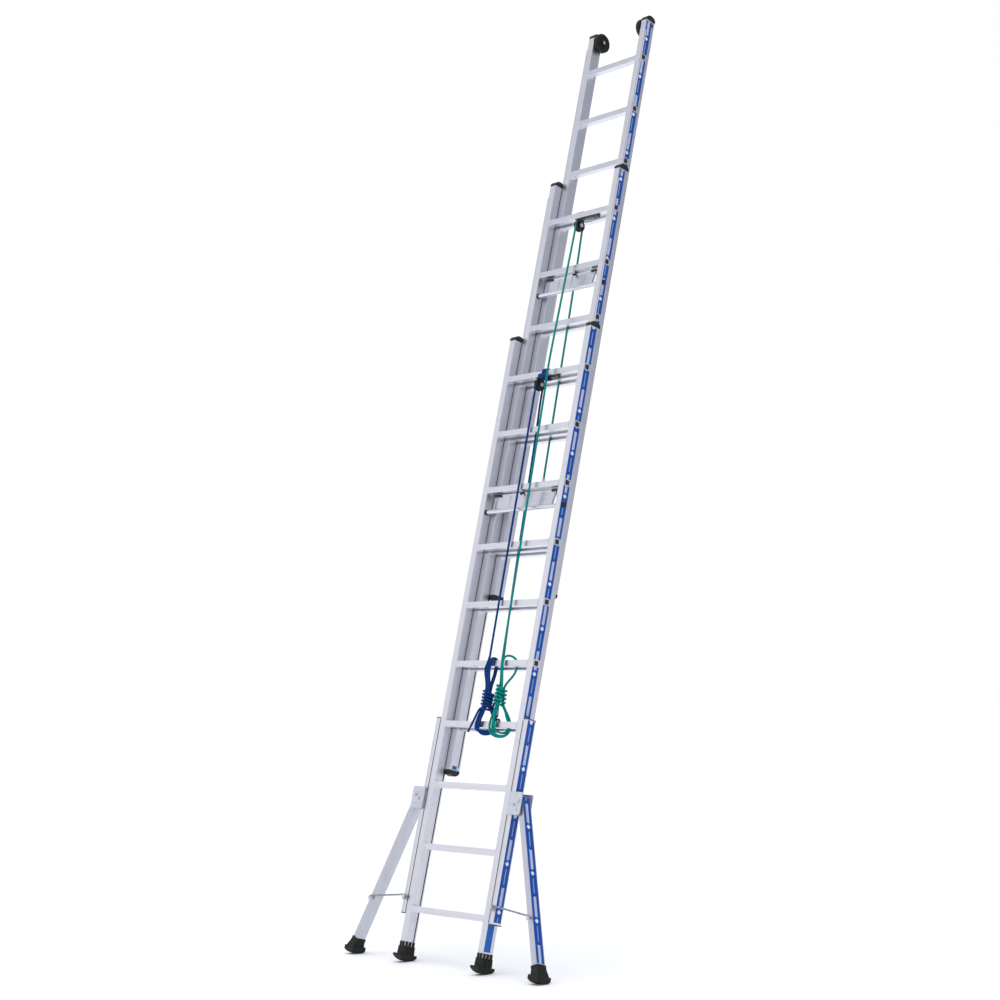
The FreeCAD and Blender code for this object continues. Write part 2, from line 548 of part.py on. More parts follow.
# boots: a rocker of 60 mm radius whose axis runs across the ladder, with its lowest line on the ground
BR = 60.0
bcy = 5.0
bcz = (G + BR + sl * bcy) / cl
leg_len = (pz - (-166.0)) / ca          # pivot to the end of the tube
leg = box(px - LEG_W / 2, px + LEG_W / 2, LEG_Y0, LEG_Y1, pz - leg_len, pz + 21.0)
leg = leg.cut(box(px - LEG_W / 2 + LEG_T, px + LEG_W / 2 - LEG_T, LEG_Y0 + LEG_T, LEG_Y1 - LEG_T, pz - leg_len - 1, pz + 22.0))
leg = leg.cut(cyl(6.0, (px, LEG_Y0 - 5, pz), (0, 1, 0), 70))
# stud position: where the strut's hook drops over the leg
S_L = (pz - 23.0) / ca
leg = leg.cut(cyl(5.0, (px, LEG_Y0 - 5, pz - S_L), (0, 1, 0), 12))
legR = leg_rot(leg)
parts["stab_leg_right"] = legR
parts["stab_leg_left"] = mirror(legR)
S = (px + S_L * sa, pz - S_L * ca)
stud = fuse([cyl(5.0, (px, LEG_Y0 + 4.0, pz - S_L), (0, -1, 0), 22.0), cyl(9.0, (px, STRUT_Y - 4.8, pz - S_L), (0, -1, 0), 3.0)])
studR = leg_rot(stud)
parts["stab_leg_stud_right"] = studR
parts["stab_leg_stud_left"] = mirror(studR)
print("strut hook at", S)
# top cap and rubber boot
cap = box(px - LEG_W / 2 - 0.8, px + LEG_W / 2 + 0.8, LEG_Y0 - 0.8, LEG_Y1 + 0.8, pz + 21.1, pz + 24.5)
capR = leg_rot(cap)
end = pz - leg_len
body = box(px - LEG_W / 2 - 3, px + LEG_W / 2 + 3, LEG_Y0 - 3, LEG_Y1 + 3, end - 30, end + 8)
body = body.cut(box(px - LEG_W / 2 - 0.1, px + LEG_W / 2 + 0.1, LEG_Y0 - 0.1, LEG_Y1 + 0.1, end - 0.2, end + 9))
w1 = [V(px - LEG_W / 2 - 3, LEG_Y0 - 3, end - 8), V(px + LEG_W / 2 + 3, LEG_Y0 - 3, end - 8), V(px + LEG_W / 2 + 3, LEG_Y1 + 3, end - 8), V(px - LEG_W / 2 - 3, LEG_Y1 + 3, end - 8)]
w2 = [V(px - LEG_W / 2 - 9, LEG_Y0 - 12, end - 50), V(px + LEG_W / 2 + 9, LEG_Y0 - 12, end - 50), V(px + LEG_W / 2 + 9, LEG_Y1 + 12, end - 50), V(px - LEG_W / 2 - 9, LEG_Y1 + 12, end - 50)]
flare = Part.makeLoft([Part.makePolygon(w1 + [w1[0]]), Part.makePolygon(w2 + [w2[0]])], True)
bootR = leg_rot(fuse([body, flare]))
# rocker sole: extends the flare down to the ground
bx = px + (leg_len + 50) * sa
rock = Part.makeCylinder(BR, 60.0, V(bx - 33.0, bcy, bcz), V(1, 0, 0))
rock = rock.common(box(bx - 40, bx + 40, bcy - 38, bcy + 38, bcz - BR - 1, -198.0))
bootR = fuse([bootR.cut(box(px, px + 400, -80, 100, -400, -208.0)), rock])
parts["stab_leg_ends_right"] = compound([bootR, capR])
parts["stab_leg_ends_left"] = compound([mirror(bootR), mirror(capR)])

# bracket: front and rear plates joined by a web between channel and leg
fx0, fx1, fz0, fz1 = 281.5, 363.0, 446.0, 545.0
plf = prism([(fx0, fz0), (fx1 - 6, fz0), (fx1, fz0 + 8), (fx1, fz1 - 6), (fx1 - 6, fz1), (fx0, fz1)], "y", -31.0, -28.0)
plr = prism([(fx0, fz0), (fx1 - 6, fz0), (fx1, fz0 + 8), (fx1, fz1 - 6), (fx1 - 6, fz1), (fx0, fz1)], "y", 33.0, 36.0)
web = box(CH_X1 + 0.8, CH_X1 + 3.8, -29.0, 34.0, fz0 + 2, fz1 - 2)
pad1 = box(fx0, CH_X1 - 2, -28.5, CH_Y0 - 0.5, fz0 + 8, fz1 - 8)
pad2 = box(fx0, CH_X1 - 2, CH_Y1 + 0.5, 33.5, fz0 + 8, fz1 - 8)
br = fuse([plf, plr, web, pad1, pad2])
br = br.cut(cyl(5.0, (px, -60, pz), (0, 1, 0), 140))
br = br.cut(cyl(3.2, (px - 1, -60, 468.0), (0, 1, 0), 60))
br = br.cut(cyl(4.0, (317.0, -60, 489.0), (0, 1, 0), 60))
parts["stab_bracket_right"] = br
parts["stab_bracket_left"] = mirror(br)
pin = fuse([cyl(5.0, (px, -34.0, pz), (0, 1, 0), 74.0), cyl(9.0, (px, -36.5, pz), (0, 1, 0), 5.4), cyl(8.0, (px, 36.1, pz), (0, 1, 0), 6.0), cyl(5.95, (px, -27.8, pz), (0, 1, 0), 60.0)])
lock = fuse([cyl(4.0, (317.0, -36.0, 489.0), (0, 1, 0), 12.0), cyl(6.0, (317.0, -38.0, 489.0), (0, 1, 0), 4.0)])
parts["stab_pins_right"] = compound([pin, lock])
parts["stab_pins_left"] = compound([mirror(pin), mirror(lock)])

# strut: an eye round the channel stud, a straight rod, a quarter-turn hook over the leg's stud
A2, S2 = V(STRUT_A[0], STRUT_Y, STRUT_A[1]), V(S[0], STRUT_Y, S[1])
u = (S2 - A2).normalize()
nup = V(-u.z, 0, u.x)
if nup.z < 0:
    nup = nup * -1
off = 5.0 + 0.45 + STRUT_R
h0 = S2 + nup * off
k45 = S2 + (nup + u).normalize() * off
h1 = S2 + u * off
rod_wire = Part.Wire([Part.LineSegment(A2 + nup * off + u * 2.0, h0).toShape(), Part.Arc(h0, k45, h1).toShape()])
prof = Part.Wire([Part.makeCircle(STRUT_R, A2 + nup * off + u * 2.0, u)])
rod = rod_wire.makePipeShell([prof], True, False)
eye = Part.makeTorus(5.06 + STRUT_R, STRUT_R, V(A2.x, A2.y, A2.z), V(0, 1, 0))
strut = fuse([rod, eye])
parts["stab_strut_right"] = strut
parts["stab_strut_left"] = mirror(strut)


# ---------------- ropes ----------------
bpz = rung_z(0, N_RUNG) - PULLEY_DROP
mpz = rung_z(1, N_RUNG) - PULLEY_DROP
R = SHEAVE_PITCH_R
bx_, mx_ = PULLEY_X


def over(x, y, z, r):
    """corner points whose fixed-radius arcs wrap half round a pulley"""
    return [(x, y - r, z + r), (x, y + r, z + r)]


# hauling line: from the hank on rung 5, up in front, over the base pulley
o = over(bx_, 0.0, bpz, R)
pts = [(-8.0, -26.0, 1150.0), (bx_, -R, bpz - 40.0), o[0], o[1], (bx_, R, bpz - 30.0)]
parts["blue_rope_front"] = route(pts, ROPE_D, "blue front and over the pulley", {2: R - 0.001, 3: R - 0.001})
# its rear fall, down to the middle section's lowest rung
pts = [(bx_, R, bpz - 30.0), (-20.0, 25.2, 2240.0), (23.0, 25.2, 1084.0), (ANCH_M, 36.5, 887.0)]
parts["blue_rope_rear"] = route(pts, ROPE_D, "blue rear")
# second line: from its hank, over rung 10's tie, up to the middle pulley
my = SEC_Y[1]
pts = [(78.0, -26.0, 1150.0), (56.0, -41.0, 2520.0), (mx_, my - R, mpz - 40.0), (mx_, my - R, mpz - 0.5)]
parts["green_rope_front"] = route(pts, ROPE_D, "green front", {1: 400.0})
o = over(mx_, my, mpz, R)
pts = [(mx_, my - R, mpz - 0.5), o[0], o[1], (mx_, my + R, mpz - 40.0), (8.0, my + R + 2.7, 3120.0), (ANCH_T, my + R + 2.7, 2000.0)]
parts["green_rope_rear"] = route(pts, ROPE_D, "green over the pulley and rear", {1: R - 0.001, 2: R - 0.001})
# the blue line's standing end, hitched round rung 10 beside the pulley
tz = rung_z(0, N_RUNG)
r = RUNG / 2 + ROPE_D / 2 + 0.6
tie = []
for k, x in enumerate((4.0, 15.0, 26.0)):
    tie.append(box(x - 5, x + 5, -r - 5, r + 4, tz - r - 15, tz + r + 5).cut(box(x - 6, x + 6, -14.5, 14.5, tz - 24.0, tz + 14.5)))
knot = chain([(-8.0, -26.5, tz - 14.0), (46.0, -26.5, tz - 18.0)], 7.0)
tie = fuse(tie + [knot])
parts["blue_rope_tie"] = tie


def slab(sections):
    """Ruled solid through rectangles, each given as an axis, a position along it and two ranges."""
    wires = []
    for ax_, at, (a0, a1), (b0, b1) in sections:
        if ax_ == "z":
            q = [V(a0, b0, at), V(a1, b0, at), V(a1, b1, at), V(a0, b1, at)]
        else:
            q = [V(at, a0, b0), V(at, a1, b0), V(at, a1, b1), V(at, a0, b1)]
        wires.append(Part.makePolygon(q + [q[0]]))
    return Part.makeLoft(wires, True, True)


WAIST_R = 28.0
z5, z4 = rung_z(0, 5), rung_z(0, 4)

# Blue hank: three loops over rung 5 and round rung 4, gathered by wraps at the waist.
kx = 30.0
s = [cyl(WAIST_R, (kx - 1, -29.0, 925.0), (0.03, 0, 1), 82.0)]
s.append(slab([("z", z5 + 24, (-24, 8), (-30, -18)), ("z", z5 - 6, (-24, 8), (-31, -19)), ("z", 1085, (-21, 11), (-32, -20)), ("z", 1050, (-8, 23), (-36, -22)), ("z", 1000, (12, 48), (-42, -15))]))
s.append(box(-24, 8, -30, 27.5, z5 + 17.5, z5 + 29.0))
s.append(slab([("z", z5 + 28, (-24, 8), (16.0, 27.5)), ("z", z5 - 12, (-18, 13), (16.0, 27.5)), ("z", 1080, (-12, 17), (8, 21)), ("z", 1050, (3, 34), (-6, 9)), ("z", 1000, (12, 48), (-38, -12))]))
s.append(slab([("z", 935, (10, 48), (-42, -16)), ("z", 892, (-9, 26), (-36, -22)), ("z", 862, (-23, 12), (-34, -20)), ("z", 832, (-30, 5), (-33, -19)), ("z", 808, (-24, 10), (-31, -17))]))
s.append(slab([("x", -26, (-30, -18), (804, 824)), ("x", 0, (-28, -10), (783, 808)), ("x", 28, (-12, 8), (780, 806)), ("x", 48, (6, 22), (786, 815)), ("x", 64, (15.5, 27.0), (796, 821))]))
s.append(slab([("z", 806, (40, 68), (15.5, 27.0)), ("z", 858, (38, 66), (15.5, 27.0)), ("z", 892, (32, 61), (-1, 15)), ("z", 935, (18, 52), (-36, -10))]))
parts["blue_hank"] = fuse(s)

# Green hank: the line runs into the waist, one loop goes over rung 5, three go round rung 4.
kx = 112.0
s = [cyl(WAIST_R, (kx + 2, -29.0, 925.0), (-0.03, 0, 1), 86.0)]
s.append(slab([("z", z5 + 29.5, (73, 95), (-31, -21)), ("z", z5 - 14, (76, 98), (-32, -20)), ("z", 1050, (86, 112), (-34, -21)), ("z", 1000, (98, 126), (-42, -16))]))
s.append(slab([("x", 84, (-30, -14), (z5 + 15, z5 + 30)), ("x", 100, (-16, 4), (z5 + 19, z5 + 34)), ("x", 126, (6, 27), (z5 + 15, z5 + 28))]))
s.append(slab([("z", z5 + 27, (120, 133), (15.5, 27.0)), ("z", z5 + 6, (134, 147), (15.5, 27.0)), ("z", z5 - 18, (134, 147), (15.5, 27.0)), ("z", 1060, (122, 136), (2, 14)), ("z", 1000, (108, 124), (-26, -12))]))
s.append(slab([("z", 930, (94, 126), (-42, -16)), ("z", 895, (82, 114), (-37, -22)), ("z", 862, (70, 102), (-34, -20)), ("z", 830, (66, 98), (-33, -19)), ("z", 800, (74, 106), (-31, -17))]))
s.append(slab([("x", 76, (-30, -18), (796, 822)), ("x", 104, (-26, -8), (770, 800)), ("x", 132, (-8, 12), (768, 798)), ("x", 156, (8, 24), (780, 812)), ("x", 172, (15.5, 27.0), (794, 821))]))
s.append(slab([("z", 800, (146, 174), (15.5, 27.0)), ("z", 858, (140, 170), (15.5, 27.0)), ("z", 892, (122, 152), (-2, 14)), ("z", 930, (104, 136), (-34, -10))]))
parts["green_hank"] = fuse(s)
pts = [(-10.0, -36.0, 893.0), (-34.0, -33.0, 856.0), (-54.0, -31.0, 826.0), (-71.0, -29.0, 799.0)]
parts["blue_rope_tail"] = route(pts, ROPE_D, "blue tail")

# ---------------- lean, ground and export ----------------
CORDS = {"blue_rope_front", "blue_rope_rear", "green_rope_front", "green_rope_rear", "blue_rope_tie", "blue_hank", "green_hank", "blue_rope_tail"}
bb = None
for k in list(parts):
    s = parts[k].copy()
    s.rotate(V(0, 0, 0), V(1, 0, 0), -LEAN)
    s.translate(V(0, 0, -G))
    parts[k] = s
    if k not in CORDS:
        b = s.optimalBoundingBox(True, False)
        if bb is None:
            bb = b
        else:
            bb.add(b)
dy = -(FOOT_C[0] * cl + FOOT_C[1] * sl)     # the feet touch the ground on the line y = 0
print("ground", G, "shift", dy, "box", bb.XMin, bb.XMax, bb.YMin, bb.YMax, bb.ZMin, bb.ZMax)
for k, s in parts.items():
    s.translate(V(0, dy, 0))
    s.exportStep("parts/%s.step" % k)
    ok = s.isValid() and all(c.isClosed() for c in s.Solids)
    print("%-26s solids %d vol %.1f cm3 %s" % (k, len(s.Solids), s.Volume / 1000, "" if ok else "NOT VALID"))
print("nodes", len(parts))
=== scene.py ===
import bpy, bmesh, math
import numpy as np
from mathutils import Matrix, Vector


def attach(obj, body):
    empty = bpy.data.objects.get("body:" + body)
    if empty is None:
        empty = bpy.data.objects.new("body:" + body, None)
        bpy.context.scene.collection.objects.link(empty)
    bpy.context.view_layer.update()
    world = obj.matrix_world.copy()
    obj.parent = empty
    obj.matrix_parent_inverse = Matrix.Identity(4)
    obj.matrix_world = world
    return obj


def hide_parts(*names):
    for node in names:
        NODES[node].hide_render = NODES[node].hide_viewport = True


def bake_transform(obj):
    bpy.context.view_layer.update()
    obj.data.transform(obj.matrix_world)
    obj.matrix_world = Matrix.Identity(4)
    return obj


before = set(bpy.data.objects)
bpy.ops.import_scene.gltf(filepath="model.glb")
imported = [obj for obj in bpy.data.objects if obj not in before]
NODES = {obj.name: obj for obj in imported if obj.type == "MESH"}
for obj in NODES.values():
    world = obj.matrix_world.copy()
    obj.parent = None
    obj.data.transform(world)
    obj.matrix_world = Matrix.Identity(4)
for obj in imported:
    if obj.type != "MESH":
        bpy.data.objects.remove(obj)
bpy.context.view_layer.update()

# Ladder axes (x across, y from the climber to the wall, z along the rails, mm) to the row frame (m).
CL, SL = math.cos(math.radians(14.0)), math.sin(math.radians(14.0))


def W(x, y, z):
    return Vector((x / 1000.0, (y * CL + z * SL + 28.2814) / 1000.0, (-y * SL + z * CL + 225.6325) / 1000.0))


LADDER = Matrix(((0.001, 0, 0, 0), (0, 0.001 * CL, 0.001 * SL, 0.0282814), (0, -0.001 * SL, 0.001 * CL, 0.2256325), (0, 0, 0, 1)))
TURN = Matrix(((1, 0, 0), (0, CL, SL), (0, -SL, CL)))

# ------------------------------------------------------------------ camera
YAW, PITCH_A, ROLL = 0.86003, 0.25673, -0.17875
cy, sy = math.cos(YAW), math.sin(YAW)
cp, sp = math.cos(PITCH_A), math.sin(PITCH_A)
cr, sr = math.cos(ROLL), math.sin(ROLL)
RZ = Matrix(((cy, -sy, 0), (sy, cy, 0), (0, 0, 1)))
RX = Matrix(((1, 0, 0), (0, cp, -sp), (0, sp, cp)))
RY = Matrix(((cr, 0, sr), (0, 1, 0), (-sr, 0, cr)))
RR = TURN @ RZ @ RX @ RY
right, fwd, up = RR.col[0], RR.col[1], RR.col[2]
cam_data = bpy.data.cameras.new("camera")
cam_data.sensor_width = 36.0
cam_data.lens = 67.31
cam_data.clip_start, cam_data.clip_end = 0.05, 200.0
cam = bpy.data.objects.new("camera", cam_data)
bpy.context.scene.collection.objects.link(cam)
cam.matrix_world = Matrix.Translation((6.26355, -5.41500, 1.25809)) @ Matrix((right, up, -fwd)).transposed().to_4x4()
bpy.context.scene.camera = cam


# ------------------------------------------------------------------ node helpers
def new_mat(name):
    m = bpy.data.materials.new(name)
    m.use_nodes = True
    nt = m.node_tree
    nt.nodes.clear()
    out = nt.nodes.new("ShaderNodeOutputMaterial")
    b = nt.nodes.new("ShaderNodeBsdfPrincipled")
    nt.links.new(b.outputs[0], out.inputs[0])
    return m, nt, b


def nd(nt, kind, **kw):
    n = nt.nodes.new(kind)
    for k, v in kw.items():
        if k in n.inputs.keys() if hasattr(n.inputs, "keys") else False:
            n.inputs[k].default_value = v
        else:
            setattr(n, k, v)
    return n


def lk(nt, a, b):
    nt.links.new(a, b)


def mathn(nt, op, a, b=None, c=None, clamp=False):
    n = nt.nodes.new("ShaderNodeMath")
    n.operation = op
    n.use_clamp = clamp
    for i, v in enumerate((a, b, c)):
        if v is None:
            continue
        if isinstance(v, (int, float)):
            n.inputs[i].default_value = v
        else:
            lk(nt, v, n.inputs[i])
    return n.outputs[0]


def ramp(nt, fac, stops):
    n = nt.nodes.new("ShaderNodeValToRGB")
    e = n.color_ramp.elements
    while len(e) < len(stops):
        e.new(0.5)
    for k, (p, c) in enumerate(stops):
        e[k].position = p
        e[k].color = (c[0], c[1], c[2], 1.0) if not isinstance(c, (int, float)) else (c, c, c, 1.0)
    lk(nt, fac, n.inputs[0])
    return n.outputs[0]


def mrange(nt, v, a, b, c, d):
    n = nt.nodes.new("ShaderNodeMapRange")
    lk(nt, v, n.inputs[0])
    for i, k in enumerate((a, b, c, d)):
        n.inputs[i + 1].default_value = k
    return n.outputs[0]


def mixc(nt, fac, a, b, mode="MIX"):
    n = nt.nodes.new("ShaderNodeMix")
    n.data_type = "RGBA"
    n.blend_type = mode
    if isinstance(fac, (int, float)):
        n.inputs[0].default_value = fac
    else:
        lk(nt, fac, n.inputs[0])
    for sock, v in ((n.inputs[6], a), (n.inputs[7], b)):
        if isinstance(v, tuple):
            sock.default_value = (v[0], v[1], v[2], 1.0)
        else:
            lk(nt, v, sock)
    return n.outputs[2]


def coords(nt, scale, rotate=True):
    """object coordinates turned to the ladder's axes and scaled"""
    tc = nt.nodes.new("ShaderNodeTexCoord")
    m1 = nt.nodes.new("ShaderNodeMapping")
    m1.inputs["Rotation"].default_value = (math.radians(14.0) if rotate else 0.0, 0, 0)
    lk(nt, tc.outputs["Object"], m1.inputs[0])
    m2 = nt.nodes.new("ShaderNodeMapping")
    m2.inputs["Scale"].default_value = scale
    lk(nt, m1.outputs[0], m2.inputs[0])
    return m2.outputs[0]


def noise(nt, vec, scale=1.0, detail=3.0, rough=0.5):
    n = nt.nodes.new("ShaderNodeTexNoise")
    n.inputs["Scale"].default_value = scale
    n.inputs["Detail"].default_value = detail
    n.inputs["Roughness"].default_value = rough
    lk(nt, vec, n.inputs["Vector"])
    return n.outputs["Fac"]


def bump(nt, b, height, strength, distance, chain=None):
    n = nt.nodes.new("ShaderNodeBump")
    n.inputs["Strength"].default_value = strength
    n.inputs["Distance"].default_value = distance
    lk(nt, height, n.inputs["Height"])
    if chain is not None:
        lk(nt, chain, n.inputs["Normal"])
    if b is not None:
        lk(nt, n.outputs[0], b.inputs["Normal"])
    return n.outputs[0]


def ladder_xyz(nt):
    """ladder coordinates in metres, as three sockets"""
    tc = nt.nodes.new("ShaderNodeTexCoord")
    m1 = nt.nodes.new("ShaderNodeMapping")
    m1.inputs["Rotation"].default_value = (math.radians(14.0), 0, 0)
    m1.inputs["Location"].default_value = (0, 0.027145, -0.22577)
    lk(nt, tc.outputs["Object"], m1.inputs[0])
    s = nt.nodes.new("ShaderNodeSeparateXYZ")
    lk(nt, m1.outputs[0], s.inputs[0])
    return s.outputs


def inside(nt, v, lo, hi):
    return mathn(nt, "MULTIPLY", mathn(nt, "GREATER_THAN", v, lo), mathn(nt, "LESS_THAN", v, hi))


def aluminium(name, base, stretch, rough, dark=0.86, metal=1.0, blotch=14.0, gap_shade=()):
    """Mill-finished extrusion: drawing lines along one axis, faint handling marks, uneven sheen.
    gap_shade lists (|x| from, |x| to, y from, y to) in ladder mm of strips darkened as painted shade in the gaps
    between nested rails."""
    m, nt, b = new_mat(name)
    b.inputs["Metallic"].default_value = metal
    fine = noise(nt, coords(nt, tuple(900.0 if s else 5.0 for s in stretch)), 1.0, 4.0, 0.6)
    broad = noise(nt, coords(nt, tuple(110.0 if s else 1.2 for s in stretch)), 1.0, 3.0, 0.55)
    hand = noise(nt, coords(nt, (1, 1, 1)), blotch, 5.0, 0.6)
    spots = noise(nt, coords(nt, (1, 1, 1)), 95.0, 4.0, 0.7)
    c1 = ramp(nt, broad, [(0.30, tuple(v * 0.93 for v in base)), (0.62, base)])
    c2 = mixc(nt, mrange(nt, hand, 0.56, 0.74, 0.0, 0.5), c1, tuple(v * dark for v in base))
    c3 = mixc(nt, mrange(nt, spots, 0.66, 0.72, 0.0, 0.35), c2, tuple(v * 0.72 for v in base))
    if gap_shade:
        xyz = ladder_xyz(nt)
        ax_ = mathn(nt, "ABSOLUTE", xyz[0])
        gap_shade_mask = None
        for x0, x1, y0, y1 in gap_shade:
            g_ = mathn(nt, "MULTIPLY", inside(nt, ax_, x0 / 1000, x1 / 1000), inside(nt, xyz[1], y0 / 1000, y1 / 1000))
            gap_shade_mask = g_ if gap_shade_mask is None else mathn(nt, "MAXIMUM", gap_shade_mask, g_)
        streak = mrange(nt, broad, 0.3, 0.7, 0.72, 1.0)
        # painted shade: the gap strips are darkened towards a dark olive, unevenly along the rail
        c3 = mixc(nt, mathn(nt, "MULTIPLY", gap_shade_mask, streak), c3, (0.045, 0.040, 0.030))
    lk(nt, c3, b.inputs["Base Color"])
    r = mathn(nt, "ADD", mrange(nt, fine, 0.25, 0.75, rough - 0.06, rough + 0.07), mrange(nt, hand, 0.45, 0.75, 0.0, 0.12), clamp=True)
    lk(nt, r, b.inputs["Roughness"])
    h = bump(nt, None, fine, 0.22, 0.00025)
    bump(nt, b, broad, 0.10, 0.0006, h)
    return m


def moulding(name, base, rough, grain, depth, dust=(0.10, 0.10, 0.105), spec=0.45):
    m, nt, b = new_mat(name)
    b.inputs["Specular IOR Level"].default_value = spec
    g = noise(nt, coords(nt, (1, 1, 1)), grain, 3.0, 0.6)
    w = noise(nt, coords(nt, (1, 1, 1)), 45.0, 5.0, 0.65)
    c = mixc(nt, mrange(nt, w, 0.55, 0.78, 0.0, 0.55), base, dust)
    c = mixc(nt, mrange(nt, g, 0.62, 0.80, 0.0, 0.25), c, dust)
    lk(nt, c, b.inputs["Base Color"])
    lk(nt, mrange(nt, w, 0.3, 0.75, rough - 0.08, rough + 0.14), b.inputs["Roughness"])
    bump(nt, b, g, 0.5, depth)
    return m


def zinc(name):
    """Galvanised plate: soft spangle, dull bloom, drawn edges."""
    m, nt, b = new_mat(name)
    b.inputs["Metallic"].default_value = 0.9
    v = nt.nodes.new("ShaderNodeTexVoronoi")
    v.inputs["Scale"].default_value = 140.0
    v.inputs["Randomness"].default_value = 1.0
    lk(nt, coords(nt, (1, 1, 1)), v.inputs["Vector"])
    sep = nt.nodes.new("ShaderNodeSeparateColor")
    lk(nt, v.outputs["Color"], sep.inputs[0])
    n = noise(nt, coords(nt, (1, 1, 1)), 40.0, 5.0, 0.6)
    c = mixc(nt, mrange(nt, sep.outputs[0], 0.0, 1.0, 0.0, 1.0), (0.62, 0.64, 0.70), (0.69, 0.71, 0.76))
    c = mixc(nt, mrange(nt, n, 0.52, 0.75, 0.0, 0.5), c, (0.44, 0.45, 0.49))
    lk(nt, c, b.inputs["Base Color"])
    lk(nt, mathn(nt, "ADD", mrange(nt, sep.outputs[1], 0.0, 1.0, 0.34, 0.5), mrange(nt, n, 0.4, 0.8, 0.0, 0.15)), b.inputs["Roughness"])
    bump(nt, b, n, 0.25, 0.0004)
    return m


def rope_mat(name, dark, mid, light):
    """Braided polypropylene line: u runs along the rope in metres, v once round it."""
    m, nt, b = new_mat(name)
    b.inputs["Sheen Weight"].default_value = 0.015
    b.inputs["Sheen Roughness"].default_value = 0.4
    b.inputs["Specular IOR Level"].default_value = 0.09
    uv = nt.nodes.new("ShaderNodeUVMap")
    uv.uv_map = "rope"
    s = nt.nodes.new("ShaderNodeSeparateXYZ")
    lk(nt, uv.outputs[0], s.inputs[0])
    along = mathn(nt, "MULTIPLY", s.outputs[0], 2 * math.pi / 0.028)
    around = mathn(nt, "MULTIPLY", s.outputs[1], 2 * math.pi * 3.0)
    c1 = mathn(nt, "COSINE", mathn(nt, "ADD", around, along))
    c2 = mathn(nt, "COSINE", mathn(nt, "SUBTRACT", around, along))
    cell = mathn(nt, "POWER", mathn(nt, "ABSOLUTE", mathn(nt, "MULTIPLY", c1, c2)), 0.5)
    which = mathn(nt, "GREATER_THAN", mathn(nt, "MULTIPLY", c1, c2), 0.0)
    # the filaments lie along each strand, so they lean one way or the other from cell to cell
    lean = mathn(nt, "MULTIPLY_ADD", which, 2.0, -1.0)
    fil = mathn(nt, "ADD", mathn(nt, "MULTIPLY", s.outputs[1], 96.0), mathn(nt, "MULTIPLY", mathn(nt, "MULTIPLY", s.outputs[0], 2600.0), lean))
    cmb = nt.nodes.new("ShaderNodeCombineXYZ")
    lk(nt, fil, cmb.inputs[0])
    lk(nt, mathn(nt, "MULTIPLY", s.outputs[0], 160.0), cmb.inputs[1])
    hair = noise(nt, cmb.outputs[0], 1.0, 2.0, 0.5)
    spot = noise(nt, coords(nt, (1, 1, 1)), 60.0, 4.0, 0.6)
    # painted shade and highlight: the braid's colour follows its relief, dark in the grooves between strands and light
    # on the crests
    c = ramp(nt, cell, [(0.12, dark), (0.55, mid), (0.95, light)])
    c = mixc(nt, mrange(nt, hair, 0.35, 0.7, 0.0, 0.55), c, dark)
    c = mixc(nt, mrange(nt, spot, 0.58, 0.8, 0.0, 0.35), c, light)
    lk(nt, c, b.inputs["Base Color"])
    lk(nt, mrange(nt, hair, 0.3, 0.7, 0.42, 0.62), b.inputs["Roughness"])
    h = bump(nt, None, cell, 0.7, 0.0009)
    bump(nt, b, hair, 0.35, 0.0003, h)
    return m


def label_mat(name, deep, pale, marks=True, seed=0.0):
    """Printed vinyl strip: u across and v along, both in metres; rows of plain white bars and squares."""
    m, nt, b = new_mat(name)
    b.inputs["Coat Weight"].default_value = 0.08
    b.inputs["Coat Roughness"].default_value = 0.22
    b.inputs["Specular IOR Level"].default_value = 0.22
    uv = nt.nodes.new("ShaderNodeUVMap")
    uv.uv_map = "label"
    s = nt.nodes.new("ShaderNodeSeparateXYZ")
    lk(nt, uv.outputs[0], s.inputs[0])
    u, v = s.outputs[0], s.outputs[1]
    n = noise(nt, coords(nt, (1, 1, 1)), 18.0, 4.0, 0.6)
    base = mixc(nt, mrange(nt, n, 0.35, 0.75, 0.0, 0.35), deep, pale)
    scr = noise(nt, coords(nt, (500.0, 500.0, 9.0)), 1.0, 3.0, 0.6)
    base = mixc(nt, mrange(nt, scr, 0.66, 0.74, 0.0, 0.35), base, (0.12, 0.22, 0.5))
    if marks:
        vv = mathn(nt, "ADD", v, seed)
        per = mathn(nt, "FRACT", mathn(nt, "DIVIDE", vv, 0.2055))
        off = mathn(nt, "ABSOLUTE", mathn(nt, "ADD", u, 0.001))
        # a run of slanted hatching, cut off square at both ends
        slant = mathn(nt, "FRACT", mathn(nt, "DIVIDE", mathn(nt, "MULTIPLY_ADD", u, 0.55, vv), 0.0100))
        big = mathn(nt, "MULTIPLY", mathn(nt, "GREATER_THAN", slant, 0.38), inside(nt, per, 0.30, 0.72))
        big = mathn(nt, "MULTIPLY", big, mathn(nt, "LESS_THAN", off, 0.0078))
        # a solid lozenge before it
        dia = mathn(nt, "ADD", mathn(nt, "MULTIPLY", mathn(nt, "ABSOLUTE", mathn(nt, "SUBTRACT", per, 0.215)), 0.2055), off)
        sq = mathn(nt, "LESS_THAN", dia, 0.0112)
        # one thin pinstripe further along
        small = mathn(nt, "MULTIPLY", mathn(nt, "LESS_THAN", off, 0.0026), mathn(nt, "ADD", mathn(nt, "GREATER_THAN", per, 0.79), mathn(nt, "LESS_THAN", per, 0.11), clamp=True))
        base = mixc(nt, mathn(nt, "MULTIPLY", big, 0.93), base, (0.86, 0.89, 0.94))
        base = mixc(nt, mathn(nt, "MULTIPLY", sq, 0.93), base, (0.86, 0.89, 0.94))
        base = mixc(nt, mathn(nt, "MULTIPLY", small, 0.55), base, (0.50, 0.62, 0.88))
    lk(nt, base, b.inputs["Base Color"])
    lk(nt, mrange(nt, n, 0.3, 0.75, 0.30, 0.46), b.inputs["Roughness"])
    bump(nt, b, scr, 0.12, 0.0002)
    return m


